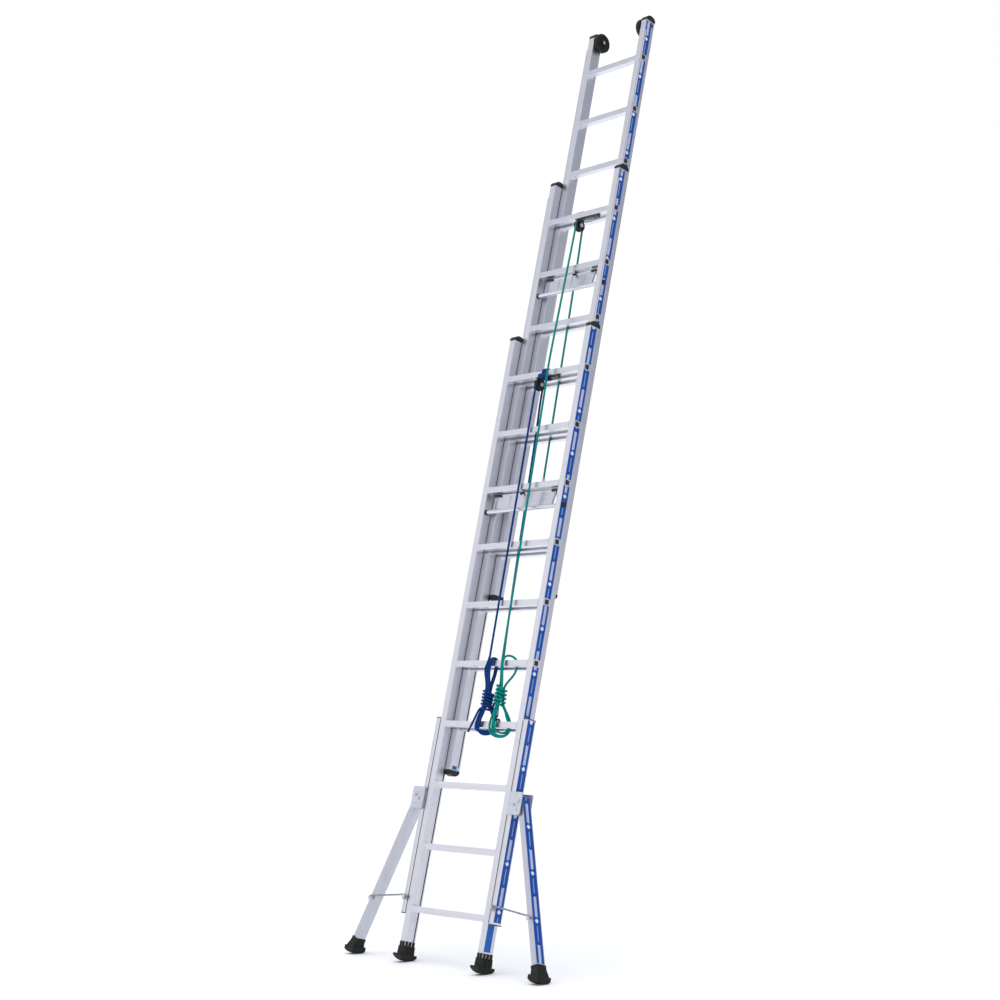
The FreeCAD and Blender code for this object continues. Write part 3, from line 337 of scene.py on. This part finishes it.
RAIL = (0.76, 0.765, 0.81)
M = {
    "rail_aluminium": aluminium("satin_rail", RAIL, (1, 1, 0), 0.36),
    "rung_aluminium": aluminium("bright_rung", (0.78, 0.785, 0.83), (0, 1, 1), 0.30),
    "plug_grey": moulding("dark_plug", (0.018, 0.019, 0.024), 0.5, 900.0, 0.0003),
    "black_moulding": moulding("black_nylon", (0.009, 0.0095, 0.008), 0.42, 1100.0, 0.0003, (0.035, 0.035, 0.032)),
    "black_rubber": moulding("black_rubber_sole", (0.010, 0.0105, 0.008), 0.62, 700.0, 0.0006, (0.045, 0.044, 0.036), 0.3),
    "zinc_steel": zinc("galvanised"),
    # rope colour stops: dark serves the painted shade in the braid's grooves and the filaments, light the painted
    # highlight on the crests and the pale spots, mid is the line's own colour
    "blue_rope": rope_mat("navy_braid", (0.001, 0.006, 0.035), (0.002, 0.040, 0.21), (0.008, 0.115, 0.46)),
    "green_rope": rope_mat("teal_braid", (0.0, 0.045, 0.040), (0.0, 0.29, 0.25), (0.0, 0.55, 0.47)),
}
# each section's rails, with a line of painted shade in the guide groove and on the faces where the nested sections meet
RAILS = {
    "base": aluminium("satin_rail_base", RAIL, (1, 1, 0), 0.36, gap_shade=((239.35, 247.0, 25.6, 31.9), (238.9, 239.2, 24.6, 27.0))),
    "middle": aluminium("satin_rail_middle", RAIL, (1, 1, 0), 0.36, gap_shade=((200.85, 208.5, 71.1, 77.4), (200.4, 200.7, 70.1, 72.5), (235.2, 236.45, 26.0, 27.4))),
    "top": aluminium("satin_rail_top", RAIL, (1, 1, 0), 0.36, gap_shade=((196.7, 197.95, 71.5, 72.9),)),
}
# the legs reuse the rail aluminium with a darker base colour: painted shade for their side faces
LEG_ALU_SHADED = aluminium("satin_leg_shaded", (0.60, 0.61, 0.67), (1, 1, 0), 0.40)
DARK_STEEL = moulding("blackened_steel", (0.035, 0.035, 0.030), 0.36, 300.0, 0.0004, (0.12, 0.12, 0.105), 0.6)
STRUT_STEEL = moulding("plated_rod", (0.30, 0.32, 0.36), 0.26, 420.0, 0.0003, (0.14, 0.15, 0.17), 0.8)
STRUT_STEEL.node_tree.nodes["Principled BSDF"].inputs["Metallic"].default_value = 0.9
LABEL = label_mat("blue_vinyl", (0.004, 0.072, 0.37), (0.008, 0.100, 0.43))
LABEL_PLAIN = label_mat("blue_vinyl_plain", (0.01, 0.13, 0.50), (0.04, 0.20, 0.58), False)
SPECIAL = {"base_rail_right": RAILS["base"], "base_rail_left": RAILS["base"], "middle_rail_right": RAILS["middle"], "middle_rail_left": RAILS["middle"], "top_rail_right": RAILS["top"], "top_rail_left": RAILS["top"], "base_pulley_bracket": DARK_STEEL, "middle_pulley_bracket": DARK_STEEL, "top_wheel_bolts": DARK_STEEL, "middle_rope_anchor": DARK_STEEL, "top_rope_anchor": DARK_STEEL, "stab_strut_right": STRUT_STEEL, "stab_strut_left": STRUT_STEEL, "stab_leg_right": LEG_ALU_SHADED, "stab_leg_left": LEG_ALU_SHADED}

for o in NODES.values():
    for i, m in enumerate(o.data.materials):
        key = m.name.split(".")[0]
        if key not in M:
            raise RuntimeError("unknown slot " + m.name)
        o.data.materials[i] = SPECIAL.get(o.name, M[key])


# ------------------------------------------------------------------ cords
ROPE_R = 0.0050


def spline_points(points, name, res=24):
    """Points along the route's own NURBS spline, in the row frame."""
    cu = bpy.data.curves.new(name + "_line", "CURVE")
    cu.dimensions = "3D"
    cu.resolution_u = res
    sp_ = cu.splines.new("NURBS")
    sp_.points.add(len(points) - 1)
    for k, q in enumerate(points):
        w = W(*q)
        sp_.points[k].co = (w.x, w.y, w.z, 1.0)
    sp_.order_u = 3
    sp_.use_endpoint_u = True
    ob = bpy.data.objects.new(name + "_line", cu)
    bpy.context.scene.collection.objects.link(ob)
    bpy.context.view_layer.update()
    me = bpy.data.meshes.new_from_object(ob)
    pts = np.array([v.co for v in me.vertices], float)
    bpy.data.meshes.remove(me)
    bpy.data.objects.remove(ob)
    bpy.data.curves.remove(cu)
    keep = np.concatenate([[True], np.linalg.norm(np.diff(pts, axis=0), axis=1) > 1e-7])
    return pts[keep]


def even(pts, step):
    d = np.concatenate([[0], np.cumsum(np.linalg.norm(np.diff(pts, axis=0), axis=1))])
    n = max(8, int(round(d[-1] / step)))
    t = np.linspace(0, d[-1], n + 1)
    return np.stack([np.interp(t, d, pts[:, k]) for k in range(3)], 1), t


def rope(name, points, mat, step=0.0019, around=24, radius=ROPE_R, res=24, phase=0.0):
    """A braided line as a tube whose surface carries the braid's diamonds."""
    raw = spline_points(points, name, res)
    P, t = even(raw, step)
    n = len(P)
    T = np.gradient(P, axis=0)
    T /= np.linalg.norm(T, axis=1)[:, None]
    up0 = np.array([1.0, 0.0, 0.0]) if abs(T[0][0]) < 0.8 else np.array([0.0, 1.0, 0.0])
    U = np.zeros_like(P)
    u = up0 - T[0] * np.dot(up0, T[0])
    U[0] = u / np.linalg.norm(u)
    for i in range(1, n):
        u = U[i - 1] - T[i] * np.dot(U[i - 1], T[i])
        U[i] = u / np.linalg.norm(u)
    V_ = np.cross(T, U)
    th = np.arange(around) * 2 * math.pi / around
    a = 3.0 * th[None, :] + phase
    s_ = (t * 2 * math.pi / 0.028)[:, None]
    h = np.sqrt(np.abs(np.cos(a + s_) * np.cos(a - s_)))
    r = radius * (0.93 + 0.11 * h)
    co = P[:, None, :] + r[..., None] * (np.cos(th)[None, :, None] * U[:, None, :] + np.sin(th)[None, :, None] * V_[:, None, :])
    # rounded ends
    rings = [co[i] for i in range(n)]
    e0 = [P[0] - T[0] * radius * 0.5 + (co[0] - P[0]) * 0.75, P[0] - T[0] * radius * 0.72 + (co[0] - P[0]) * 0.3]
    e1 = [P[-1] + T[-1] * radius * 0.5 + (co[-1] - P[-1]) * 0.75, P[-1] + T[-1] * radius * 0.72 + (co[-1] - P[-1]) * 0.3]
    rings = [e0[1], e0[0]] + rings + e1
    tt = np.concatenate([[t[0] - radius * 0.72, t[0] - radius * 0.5], t, [t[-1] + radius * 0.5, t[-1] + radius * 0.72]])
    V = np.concatenate(rings, 0)
    m = len(rings)
    F = []
    uvs = []
    for i in range(m - 1):
        for j in range(around):
            k = (j + 1) % around
            F.append((i * around + j, i * around + k, (i + 1) * around + k, (i + 1) * around + j))
            a0, a1 = j / around, (j + 1) / around
            uvs += [(tt[i], a0), (tt[i], a1), (tt[i + 1], a1), (tt[i + 1], a0)]
    F.append(tuple(range(around))[::-1])
    uvs += [(tt[0], j / around) for j in range(around)][::-1]
    F.append(tuple((m - 1) * around + j for j in range(around)))
    uvs += [(tt[-1], j / around) for j in range(around)]
    me = bpy.data.meshes.new(name)
    me.from_pydata([tuple(v) for v in V], [], F)
    lay = me.uv_layers.new(name="rope")
    lay.data.foreach_set("uv", np.array(uvs, np.float32).ravel())
    me.polygons.foreach_set("use_smooth", [True] * len(me.polygons))
    me.materials.append(mat)
    me.update()
    ob = bpy.data.objects.new(name, me)
    bpy.context.scene.collection.objects.link(ob)
    # the ring centres, thinned, are the line that the piece follows
    path = P[::2] if (n - 1) % 2 == 0 else np.concatenate([P[::2], P[-1:]])
    length = float(np.linalg.norm(np.diff(P, axis=0), axis=1).sum())
    print("ROPE %s length %.4f rings %d" % (name, length, n))
    return ob, [tuple(p) for p in path], length


def wraps(cx, cyy, rx, ry, z_from, z_to, turns, start, slope, sense=1, loose=0.035):
    """Whipping turns round a bundle, twelve points a turn; slope tilts each turn across x."""
    pts = []
    n = int(round(turns * 12))
    for k in range(n + 1):
        f = k / n
        ang = math.radians(start) + sense * 2 * math.pi * k / 12.0
        w = 1.0 + loose * math.sin(0.83 * k + 1.0) * math.cos(0.31 * k)
        x = cx + 1.035 * rx * w * math.cos(ang)
        y = cyy + 1.035 * ry * w * math.sin(ang)
        pts.append((x, y, z_from + (z_to - z_from) * f - slope * (x - cx)))
    return pts


# hauling line, front fall, over the base pulley
bf_pts = [(-8.0, -26.0, 1150.0), (-9.5, -25.8, 1210.0), (-28.0, -22.75, 2429.0), (-28.0, -22.75, 2491.75), (-28.0, 22.75, 2491.75), (-28.0, 22.75, 2439.0)]
blue_front, path, L = rope("blue_line_front", bf_pts, M["blue_rope"])
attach(blue_front, "base")
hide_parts("blue_rope_front")

br_pts = [(-28.0, 22.75, 2439.0), (-28.0, 22.9, 2380.0), (-20.0, 25.2, 2240.0), (23.0, 25.2, 1084.0), (42.0, 36.5, 887.0)]
blue_rear, path, L = rope("blue_line_rear", br_pts, M["blue_rope"])
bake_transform(blue_rear)
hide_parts("blue_rope_rear")

gf_pts = [(78.0, -26.0, 1150.0), (77.0, -26.6, 1210.0), (60.5, -40.0, 2430.0), (56.0, -41.0, 2520.0), (50.0, -36.0, 2610.0), (3.0, 22.75, 3262.0), (3.0, 22.75, 3301.5)]
green_front, path, L = rope("green_line_front", gf_pts, M["green_rope"])
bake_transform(green_front)
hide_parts("green_rope_front")

gr_pts = [(3.0, 22.75, 3301.5), (3.0, 22.75, 3324.75), (3.0, 68.25, 3324.75), (3.0, 68.25, 3262.0), (8.0, 70.95, 3120.0), (34.5, 70.95, 2060.0), (36.0, 70.95, 2000.0)]
green_rear, path, L = rope("green_line_rear", gr_pts, M["green_rope"])
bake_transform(green_rear)
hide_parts("green_rope_rear")


# blue hank: three lower loops and two upper ones, whipped at the waist, with the tail let out at the left
def blue_turn(s, last=False):
    q = [(2 + 10 * s - (s + 1) * 0.0, -25.5, 1136), (-2 + 12 * s, -27, 1116), (-8 + 15 * s, -28, 1092), (-1 + 13 * s, -29.5, 1068), (10 + 11 * s, -31, 1042), (22 + 10 * s, -33, 1014), (28 + 11 * s, -35, 985), (30 + 11 * s, -35, 950), (24 + 11 * s, -33, 920), (9 + 11 * s, -30, 890), (-5 + 11 * s, -28, 862), (-12 + 11 * s, -26, 834), (-9 + 9 * s, -24, 810), (7 + 5 * s, -17, 804 - 7 * s), (28, -1, 803 - 8 * s), (46 + 2 * s, 14, 811 - 6 * s), (54 + 8 * s, 21.5, 826 - 3 * s), (54 + 9 * s, 21.3, 856), (47 + 9 * s, 8, 890), (41 + 10 * s, -10, 918), (36 + 11 * s, -22, 950), (34 + 11 * s, -22, 985)]
    if not last:
        q += [(27 + 10 * s, -14, 1017), (15 + 10 * s, 3, 1050), (5 + 10 * s, 16, 1078), (0 + 10 * s, 21.7, 1106), (-2 + 10 * s, 22.6, 1134), (1 + 11 * s, 11, 1144.5), (7 + 11 * s, -11, 1145.5)]
    return q


bh = [(-8.0, -26.0, 1150.0)] + blue_turn(-1)[1:] + blue_turn(0) + blue_turn(1, True)[:-2]
bh += [(54, -4, 938), (55, -3, 957), (54, -12, 971)]
bh += wraps(29.0, -28.5, 23.0, 22.5, 984.0, 908.0, 5.25, 0.0, 0.42, sense=-1, loose=0.05)
bh += [(12, -50, 900), (-3, -45, 887), (-15, -40, 872), (-30, -36, 850), (-46, -32, 826), (-61, -29, 802)]
blue_hank, path, L = rope("blue_hank_line", bh, M["blue_rope"], res=14)
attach(blue_hank, "base")
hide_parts("blue_hank", "blue_rope_tail")

# green hank: the line runs down through the waist; one loop stands over the rung
gh = [(78.0, -26.0, 1150.0), (79, -26, 1125), (84, -27, 1092), (93, -29, 1056), (102, -32, 1020), (107, -35, 988), (106, -35, 950), (99, -33, 918), (88, -31, 888), (75, -29, 858), (71, -27, 830), (77, -25, 807), (93, -19, 791), (117, -3, 785), (142, 10, 792), (154, 21.3, 812), (156, 21.5, 838), (150, 18, 866), (140, 5, 892), (130, -12, 918), (119, -21, 948), (116, -22, 984), (116, -17, 1014), (119, -2, 1040), (124, 11, 1062), (129, 21, 1086), (129, 22.6, 1112), (124, 21.5, 1140), (114, 10, 1152), (100, -6, 1157), (89, -22, 1149), (85, -27, 1128), (90, -28, 1098), (101, -30, 1062), (113, -33, 1024), (119, -35, 990), (118, -35, 952), (111, -33, 918), (101, -31, 888), (92, -29, 858), (90, -27, 832), (96, -25, 809), (109, -18, 795), (128, -2, 790), (146, 12, 797), (154, 21, 818), (151, 21.3, 842), (144, 16, 866), (134, 3, 889), (128, -8, 914), (117, -18, 931), (104, -27, 929), (97, -31, 908), (95, -31, 884), (100, -30, 858), (102, -28, 834), (108, -25, 816), (120, -15, 806), (136, 0, 803), (147, 13, 812), (148, 22, 832), (140, 20, 858), (132, 6, 884), (131, -1, 904)]
gh += wraps(111.0, -28.5, 24.0, 23.0, 928.0, 1006.0, 4.5, 25.0, 0.34, sense=-1, loose=0.10)
gh += [(90, -14, 1011), (98, -3, 1000), (102, 0, 980), (104, 0, 956), (105, -1, 936)]
green_hank, path, L = rope("green_hank_line", gh, M["green_rope"], res=14)
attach(green_hank, "base")
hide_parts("green_hank")

# the blue line's standing end, hitched round rung 10 and the bracket's arm
tz = 2520.0
tie = []
for k in range(37):
    a = math.radians(200.0) - 2 * math.pi * k / 12.0
    x = 1.0 + 27.0 * k / 36.0
    c_, s_ = math.cos(a), math.sin(a)
    # the rung is square: the turn keeps to a rounded square a rope's radius off it
    q = 22.0 / max(abs(c_), abs(s_)) ** 0.62
    tie.append((x, q * c_, tz - 4.5 + (q + 3.5) * s_))
tie += [(36, -30, tz - 6), (42, -31, tz - 14), (34, -33, tz - 20), (18, -33, tz - 17), (2, -32, tz - 12), (-9, -31, tz - 13), (-10, -32, tz - 21), (0, -34, tz - 25), (16, -36, tz - 24), (32, -36, tz - 22), (46, -33, tz - 21)]
blue_tie, path, L = rope("blue_line_tie", tie, M["blue_rope"], res=14)
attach(blue_tie, "base")
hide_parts("blue_rope_tie")


# ------------------------------------------------------------------ mesh helpers
def add_mesh(name, verts, faces, mat, body=None, smooth=False, uv=None, uvname="label"):
    me = bpy.data.meshes.new(name)
    me.from_pydata([tuple(v) for v in verts], [], faces)
    if uv is not None:
        lay = me.uv_layers.new(name=uvname)
        k = 0
        for f in faces:
            for i in f:
                lay.data[k].uv = uv[i]
                k += 1
    me.materials.append(mat)
    me.polygons.foreach_set("use_smooth", [smooth] * len(me.polygons))
    me.update()
    bm = bmesh.new()
    bm.from_mesh(me)
    bmesh.ops.recalc_face_normals(bm, faces=bm.faces)
    bm.to_mesh(me)
    bm.free()
    ob = bpy.data.objects.new(name, me)
    bpy.context.scene.collection.objects.link(ob)
    if body:
        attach(ob, body)
    return ob


def rounded(w0, w1, h0, h1, r, seg=5):
    pts = []
    for cx, cz, a0 in ((w1 - r, h1 - r, 0), (w0 + r, h1 - r, 90), (w0 + r, h0 + r, 180), (w1 - r, h0 + r, 270)):
        for k in range(seg + 1):
            a = math.radians(a0 + 90.0 * k / seg)
            pts.append((cx + r * math.cos(a), cz + r * math.sin(a)))
    return pts


def plate(name, outline, thick, place, mat, body, edge=0.08, uv_off=(0.0, 0.0), holes=()):
    """A thin strip with a softened edge. outline is in mm; place(u, v, w) gives ladder mm; w is out from the surface."""
    cu = bpy.data.curves.new(name, "CURVE")
    cu.dimensions = "2D"
    cu.fill_mode = "BOTH"
    for ring_ in [outline] + list(holes):
        sp_ = cu.splines.new("POLY")
        sp_.points.add(len(ring_) - 1)
        for k, (a, b) in enumerate(ring_):
            sp_.points[k].co = (a, b, 0, 1)
        sp_.use_cyclic_u = True
    cu.extrude = thick / 2 - edge
    cu.bevel_depth = edge
    cu.bevel_resolution = 1
    cu.offset = -edge
    tmp = bpy.data.objects.new(name + "_c", cu)
    bpy.context.scene.collection.objects.link(tmp)
    bpy.context.view_layer.update()
    me = bpy.data.meshes.new_from_object(tmp)
    bpy.data.objects.remove(tmp)
    bpy.data.curves.remove(cu)
    me.name = name
    bm = bmesh.new()
    bm.from_mesh(me)
    bmesh.ops.remove_doubles(bm, verts=bm.verts, dist=1e-4)
    loc = {v.index: (v.co.x, v.co.y) for v in bm.verts}
    lay = bm.loops.layers.uv.get("label") or bm.loops.layers.uv.new("label")
    for f in bm.faces:
        for l in f.loops:
            l[lay].uv = ((l.vert.co.x + uv_off[0]) / 1000.0, (l.vert.co.y + uv_off[1]) / 1000.0)
    for v in bm.verts:
        q = place(v.co.x, v.co.y, v.co.z + thick / 2)
        v.co = W(*q)
    bmesh.ops.recalc_face_normals(bm, faces=bm.faces)
    bm.to_mesh(me)
    bm.free()
    while len(me.uv_layers) > 1:
        for l in me.uv_layers:
            if l.name != "label":
                me.uv_layers.remove(l)
                break
    me.materials.clear()
    me.materials.append(mat)
    ob = bpy.data.objects.new(name, me)
    bpy.context.scene.collection.objects.link(ob)
    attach(ob, body)
    return ob


def lathe(name, profile, axis_p, axis_d, mat, body, seg=40):
    """profile: (distance along the axis, radius) in mm; axis in ladder mm."""
    d = Vector(axis_d).normalized()
    a = d.orthogonal().normalized()
    b = d.cross(a)
    verts, faces = [], []
    m = len(profile)
    for k in range(seg):
        t = 2 * math.pi * k / seg
        e = a * math.cos(t) + b * math.sin(t)
        for h, r in profile:
            p = Vector(axis_p) + d * h + e * r
            verts.append(W(*p))
    for k in range(seg):
        n_ = (k + 1) % seg
        for i in range(m - 1):
            faces.append((k * m + i, n_ * m + i, n_ * m + i + 1, k * m + i + 1))
    faces.append(tuple(k * m for k in range(seg)))
    faces.append(tuple(k * m + m - 1 for k in range(seg))[::-1])
    ob = add_mesh(name, verts, faces, mat, body)
    ob.data.polygons.foreach_set("use_smooth", [len(f.vertices) == 4 for f in ob.data.polygons])
    return ob


# ------------------------------------------------------------------ pieces on the cords
def sleeve(name, at, direction, length, r, mat, body):
    """A pressed sleeve or taped whipping on a rope: slightly waisted, with rolled ends."""
    h = length / 2
    prof = [(-h, ROPE_R * 1000 * 0.8), (-h, r - 0.8), (-h + 0.5, r - 0.2), (-h + 1.5, r), (-h * 0.4, r - 0.35), (0, r - 0.45), (h * 0.4, r - 0.35), (h - 1.5, r), (h - 0.5, r - 0.2), (h, r - 0.8), (h, ROPE_R * 1000 * 0.8)]
    return lathe(name, prof, at, direction, mat, body, 32)


tail_tape = sleeve("blue_tail_whipping", (-57.2, -29.7, 808.2), (-16, 3, -26), 12.0, 5.6, M["black_moulding"], "base")

ferrule_b = sleeve("blue_line_ferrule", (40.6, 35.7, 901.5), (19, 11.3, -197), 24.0, 7.2, M["zinc_steel"], "middle")
ferrule_g = sleeve("green_line_ferrule", (35.8, 70.95, 2012.0), (1.5, 0, -60), 24.0, 7.2, M["zinc_steel"], "top")


# ------------------------------------------------------------------ printed strips
SEC = (0.0, 45.5, 91.0)
SZ = (0.0, 833.0, 1666.0)
XO = (275.0, 236.5, 198.0)
ZT = 2722.0
ZB = (-164.0, -195.0, -195.0)
BODY = ("base", "middle", "top")
for sec in range(3):
    y0, y1 = (-17.8, 20.0) if sec == 0 else (-14.2, 20.0)
    spans = []
    edges = [SZ[sec] + ZB[sec] + 6] + [SZ[sec] + 280.0 * k for k in range(10)] + [SZ[sec] + ZT - 6]
    for k in range(11):
        a = edges[k] + (16.2 if k > 0 else 0.0)
        b_ = edges[k + 1] - (16.2 if k < 10 else 0.0)
        if sec == 0:
            if b_ < 866:
                continue
            a = max(a, 872.0)
        spans.append((a, b_))
    for k, (a, b_) in enumerate(spans):
        yy = SEC[sec]
        xx = XO[sec]
        plate("%s_label_%02d" % (BODY[sec], k + 1), rounded(y0, y1, a, b_, 1.5, 4), 0.3, lambda u, v, w, yy=yy, xx=xx: (xx + 0.02 + w, yy + u, v), LABEL, BODY[sec], uv_off=(-1.0, 37.0 * sec))

plate("base_label_foot", rounded(-17.8, 20.0, -138.0, -24.0, 1.5, 4), 0.3, lambda u, v, w: (275.02 + w, u, v), LABEL_PLAIN, "base")
hole = [(5 + 4.6 * math.cos(t * math.pi / 10), 760 + 4.6 * math.sin(t * math.pi / 10)) for t in range(20)]
plate("channel_label", rounded(-17.5, 24.0, -12.0, 862.0, 1.5, 4), 0.3, lambda u, v, w: (305.02 + w, u, v), LABEL, "base", uv_off=(-4.0, 11.0), holes=[hole])

LA = math.radians(20.5)
PX, PZ = 343.0, 508.0


def leg_place(u, v, w):
    dx, dz = 15.0 + 0.02 + w, v - PZ
    return (PX + dx * math.cos(LA) - dz * math.sin(LA), u, PZ + dx * math.sin(LA) + dz * math.cos(LA))


LEG_LEN = (508.0 + 166.0) / math.cos(LA)
plate("leg_label", rounded(-17.5, 25.0, PZ - LEG_LEN + 14, PZ + 17, 1.5, 4), 0.3, leg_place, LABEL, "stab_leg_right", uv_off=(-4.0, 64.0))

# black beads that close the slot between the base rails and the guide channels
for sgn, nm in ((1, "right"), (-1, "left")):
    prof = [(273.6, -18.9), (274.2, -19.7), (275.6, -20.1), (277.2, -19.8), (277.9, -19.1), (277.2, -18.4), (276.45, -18.0), (276.45, -12.0), (275.15, -12.0), (275.15, -18.0), (274.4, -18.3)]
    verts, faces = [], []
    zs = [-16.0 + 876.0 * k / 12 for k in range(13)]
    for z in zs:
        verts += [W(sgn * x, y, z) for x, y in prof]
    m_ = len(prof)
    for k in range(len(zs) - 1):
        for i in range(m_):
            j_ = (i + 1) % m_
            faces.append((k * m_ + i, k * m_ + j_, (k + 1) * m_ + j_, (k + 1) * m_ + i))
    faces.append(tuple(range(m_)))
    faces.append(tuple((len(zs) - 1) * m_ + i for i in range(m_))[::-1])
    add_mesh("channel_bead_" + nm, verts, faces, M["black_rubber"], "base")

# bright dome nuts on the wall wheels' bolts
for sgn, nm in ((1, "right"), (-1, "left")):
    x0 = sgn * (198.0 - 36.0 - 4.0 - 25.0 - 6.5)
    lathe("wheel_nut_" + nm, [(-0.5, 6.2), (0.6, 6.4), (1.6, 6.0), (2.6, 4.9), (3.3, 3.0), (3.6, 1.0), (3.6, 0.2)], (x0, 112.0, 4367.0), (-sgn, 0, 0), M["zinc_steel"], "top", 28)

# small plain blue tab and its rivet plate at the foot of the middle section's left rail
plate("middle_tab_left", rounded(-9.0, 17.0, 640.5, 657.0, 1.2, 4), 0.3, lambda u, v, w: (-200.48 + w, 45.5 + u, v), LABEL_PLAIN, "middle")
plate("middle_tab_plate_left", rounded(19.0, 33.0, 640.5, 655.0, 1.2, 4), 0.8, lambda u, v, w: (-200.48 + w, 45.5 + u, v), M["zinc_steel"], "middle")

# ------------------------------------------------------------------ floor and light
fm, fnt, fb = new_mat("studio_floor")
fb.inputs["Roughness"].default_value = 0.9
fb.inputs["Specular IOR Level"].default_value = 0.1
fnz = noise(fnt, coords(fnt, (1, 1, 1), False), 3.0, 4.0, 0.5)
lk(fnt, ramp(fnt, fnz, [(0.3, (0.93, 0.93, 0.93)), (0.7, (0.95, 0.95, 0.95))]), fb.inputs["Base Color"])
fl = bpy.data.meshes.new("floor")
fl.from_pydata([(-60, -60, -0.0005), (60, -60, -0.0005), (60, 60, -0.0005), (-60, 60, -0.0005)], [], [(0, 1, 2, 3)])
fl.materials.append(fm)
floor = bpy.data.objects.new("floor", fl)
bpy.context.scene.collection.objects.link(floor)

world = bpy.data.worlds.new("studio")
world.use_nodes = True
wn = world.node_tree
wn.nodes.clear()
wo = wn.nodes.new("ShaderNodeOutputWorld")
wb = wn.nodes.new("ShaderNodeBackground")
wtc = wn.nodes.new("ShaderNodeTexCoord")
dotn = wn.nodes.new("ShaderNodeVectorMath")
dotn.operation = "DOT_PRODUCT"
dotn.inputs[1].default_value = (0.80, 0.60, 0.0)
lk(wn, wtc.outputs["Generated"], dotn.inputs[0])
side = ramp(wn, dotn.outputs["Value"], [(0.05, (1.0, 1.0, 1.0)), (0.62, (0.27, 0.295, 0.36)), (1.0, (0.40, 0.42, 0.48))])
doty = wn.nodes.new("ShaderNodeVectorMath")
doty.operation = "DOT_PRODUCT"
doty.inputs[1].default_value = (0.0, -1.0, 0.0)
lk(wn, wtc.outputs["Generated"], doty.inputs[0])
front = ramp(wn, doty.outputs["Value"], [(0.0, (1.0, 1.0, 1.0)), (0.35, (0.80, 0.805, 0.86))])
side = mixc(wn, 1.0, side, front, "MULTIPLY")
wsep = wn.nodes.new("ShaderNodeSeparateXYZ")
lk(wn, wtc.outputs["Generated"], wsep.inputs[0])
high = ramp(wn, wsep.outputs[2], [(0.34, (1.0, 1.0, 1.0)), (0.75, (0.60, 0.62, 0.67))])
lk(wn, mixc(wn, 1.0, side, high, "MULTIPLY"), wb.inputs["Color"])
wb.inputs["Strength"].default_value = 1.03
lk(wn, wb.outputs[0], wo.inputs[0])
bpy.context.scene.world = world
bpy.context.scene.view_settings.view_transform = "Standard"
bpy.context.scene.view_settings.exposure = 0.0


def area(name, loc, target, size, power, color=(1, 1, 1)):
    d = bpy.data.lights.new(name, "AREA")
    d.shape = "RECTANGLE"
    d.size, d.size_y = size
    d.energy = power
    d.color = color
    o = bpy.data.objects.new(name, d)
    bpy.context.scene.collection.objects.link(o)
    o.location = loc
    o.rotation_mode = "QUATERNION"
    o.rotation_quaternion = (Vector(target) - Vector(loc)).to_track_quat("-Z", "Y")
    return o


area("key", (-3.5, -6.0, 5.0), (0, 0.5, 2.3), (5.0, 5.0), 26.0)
sun_data = bpy.data.lights.new("overhead", "SUN")
sun_data.energy = 1.9
sun_data.angle = math.radians(75.0)
sun = bpy.data.objects.new("overhead", sun_data)
bpy.context.scene.collection.objects.link(sun)
sun.rotation_euler = (0.0, 0.0, 0.0)
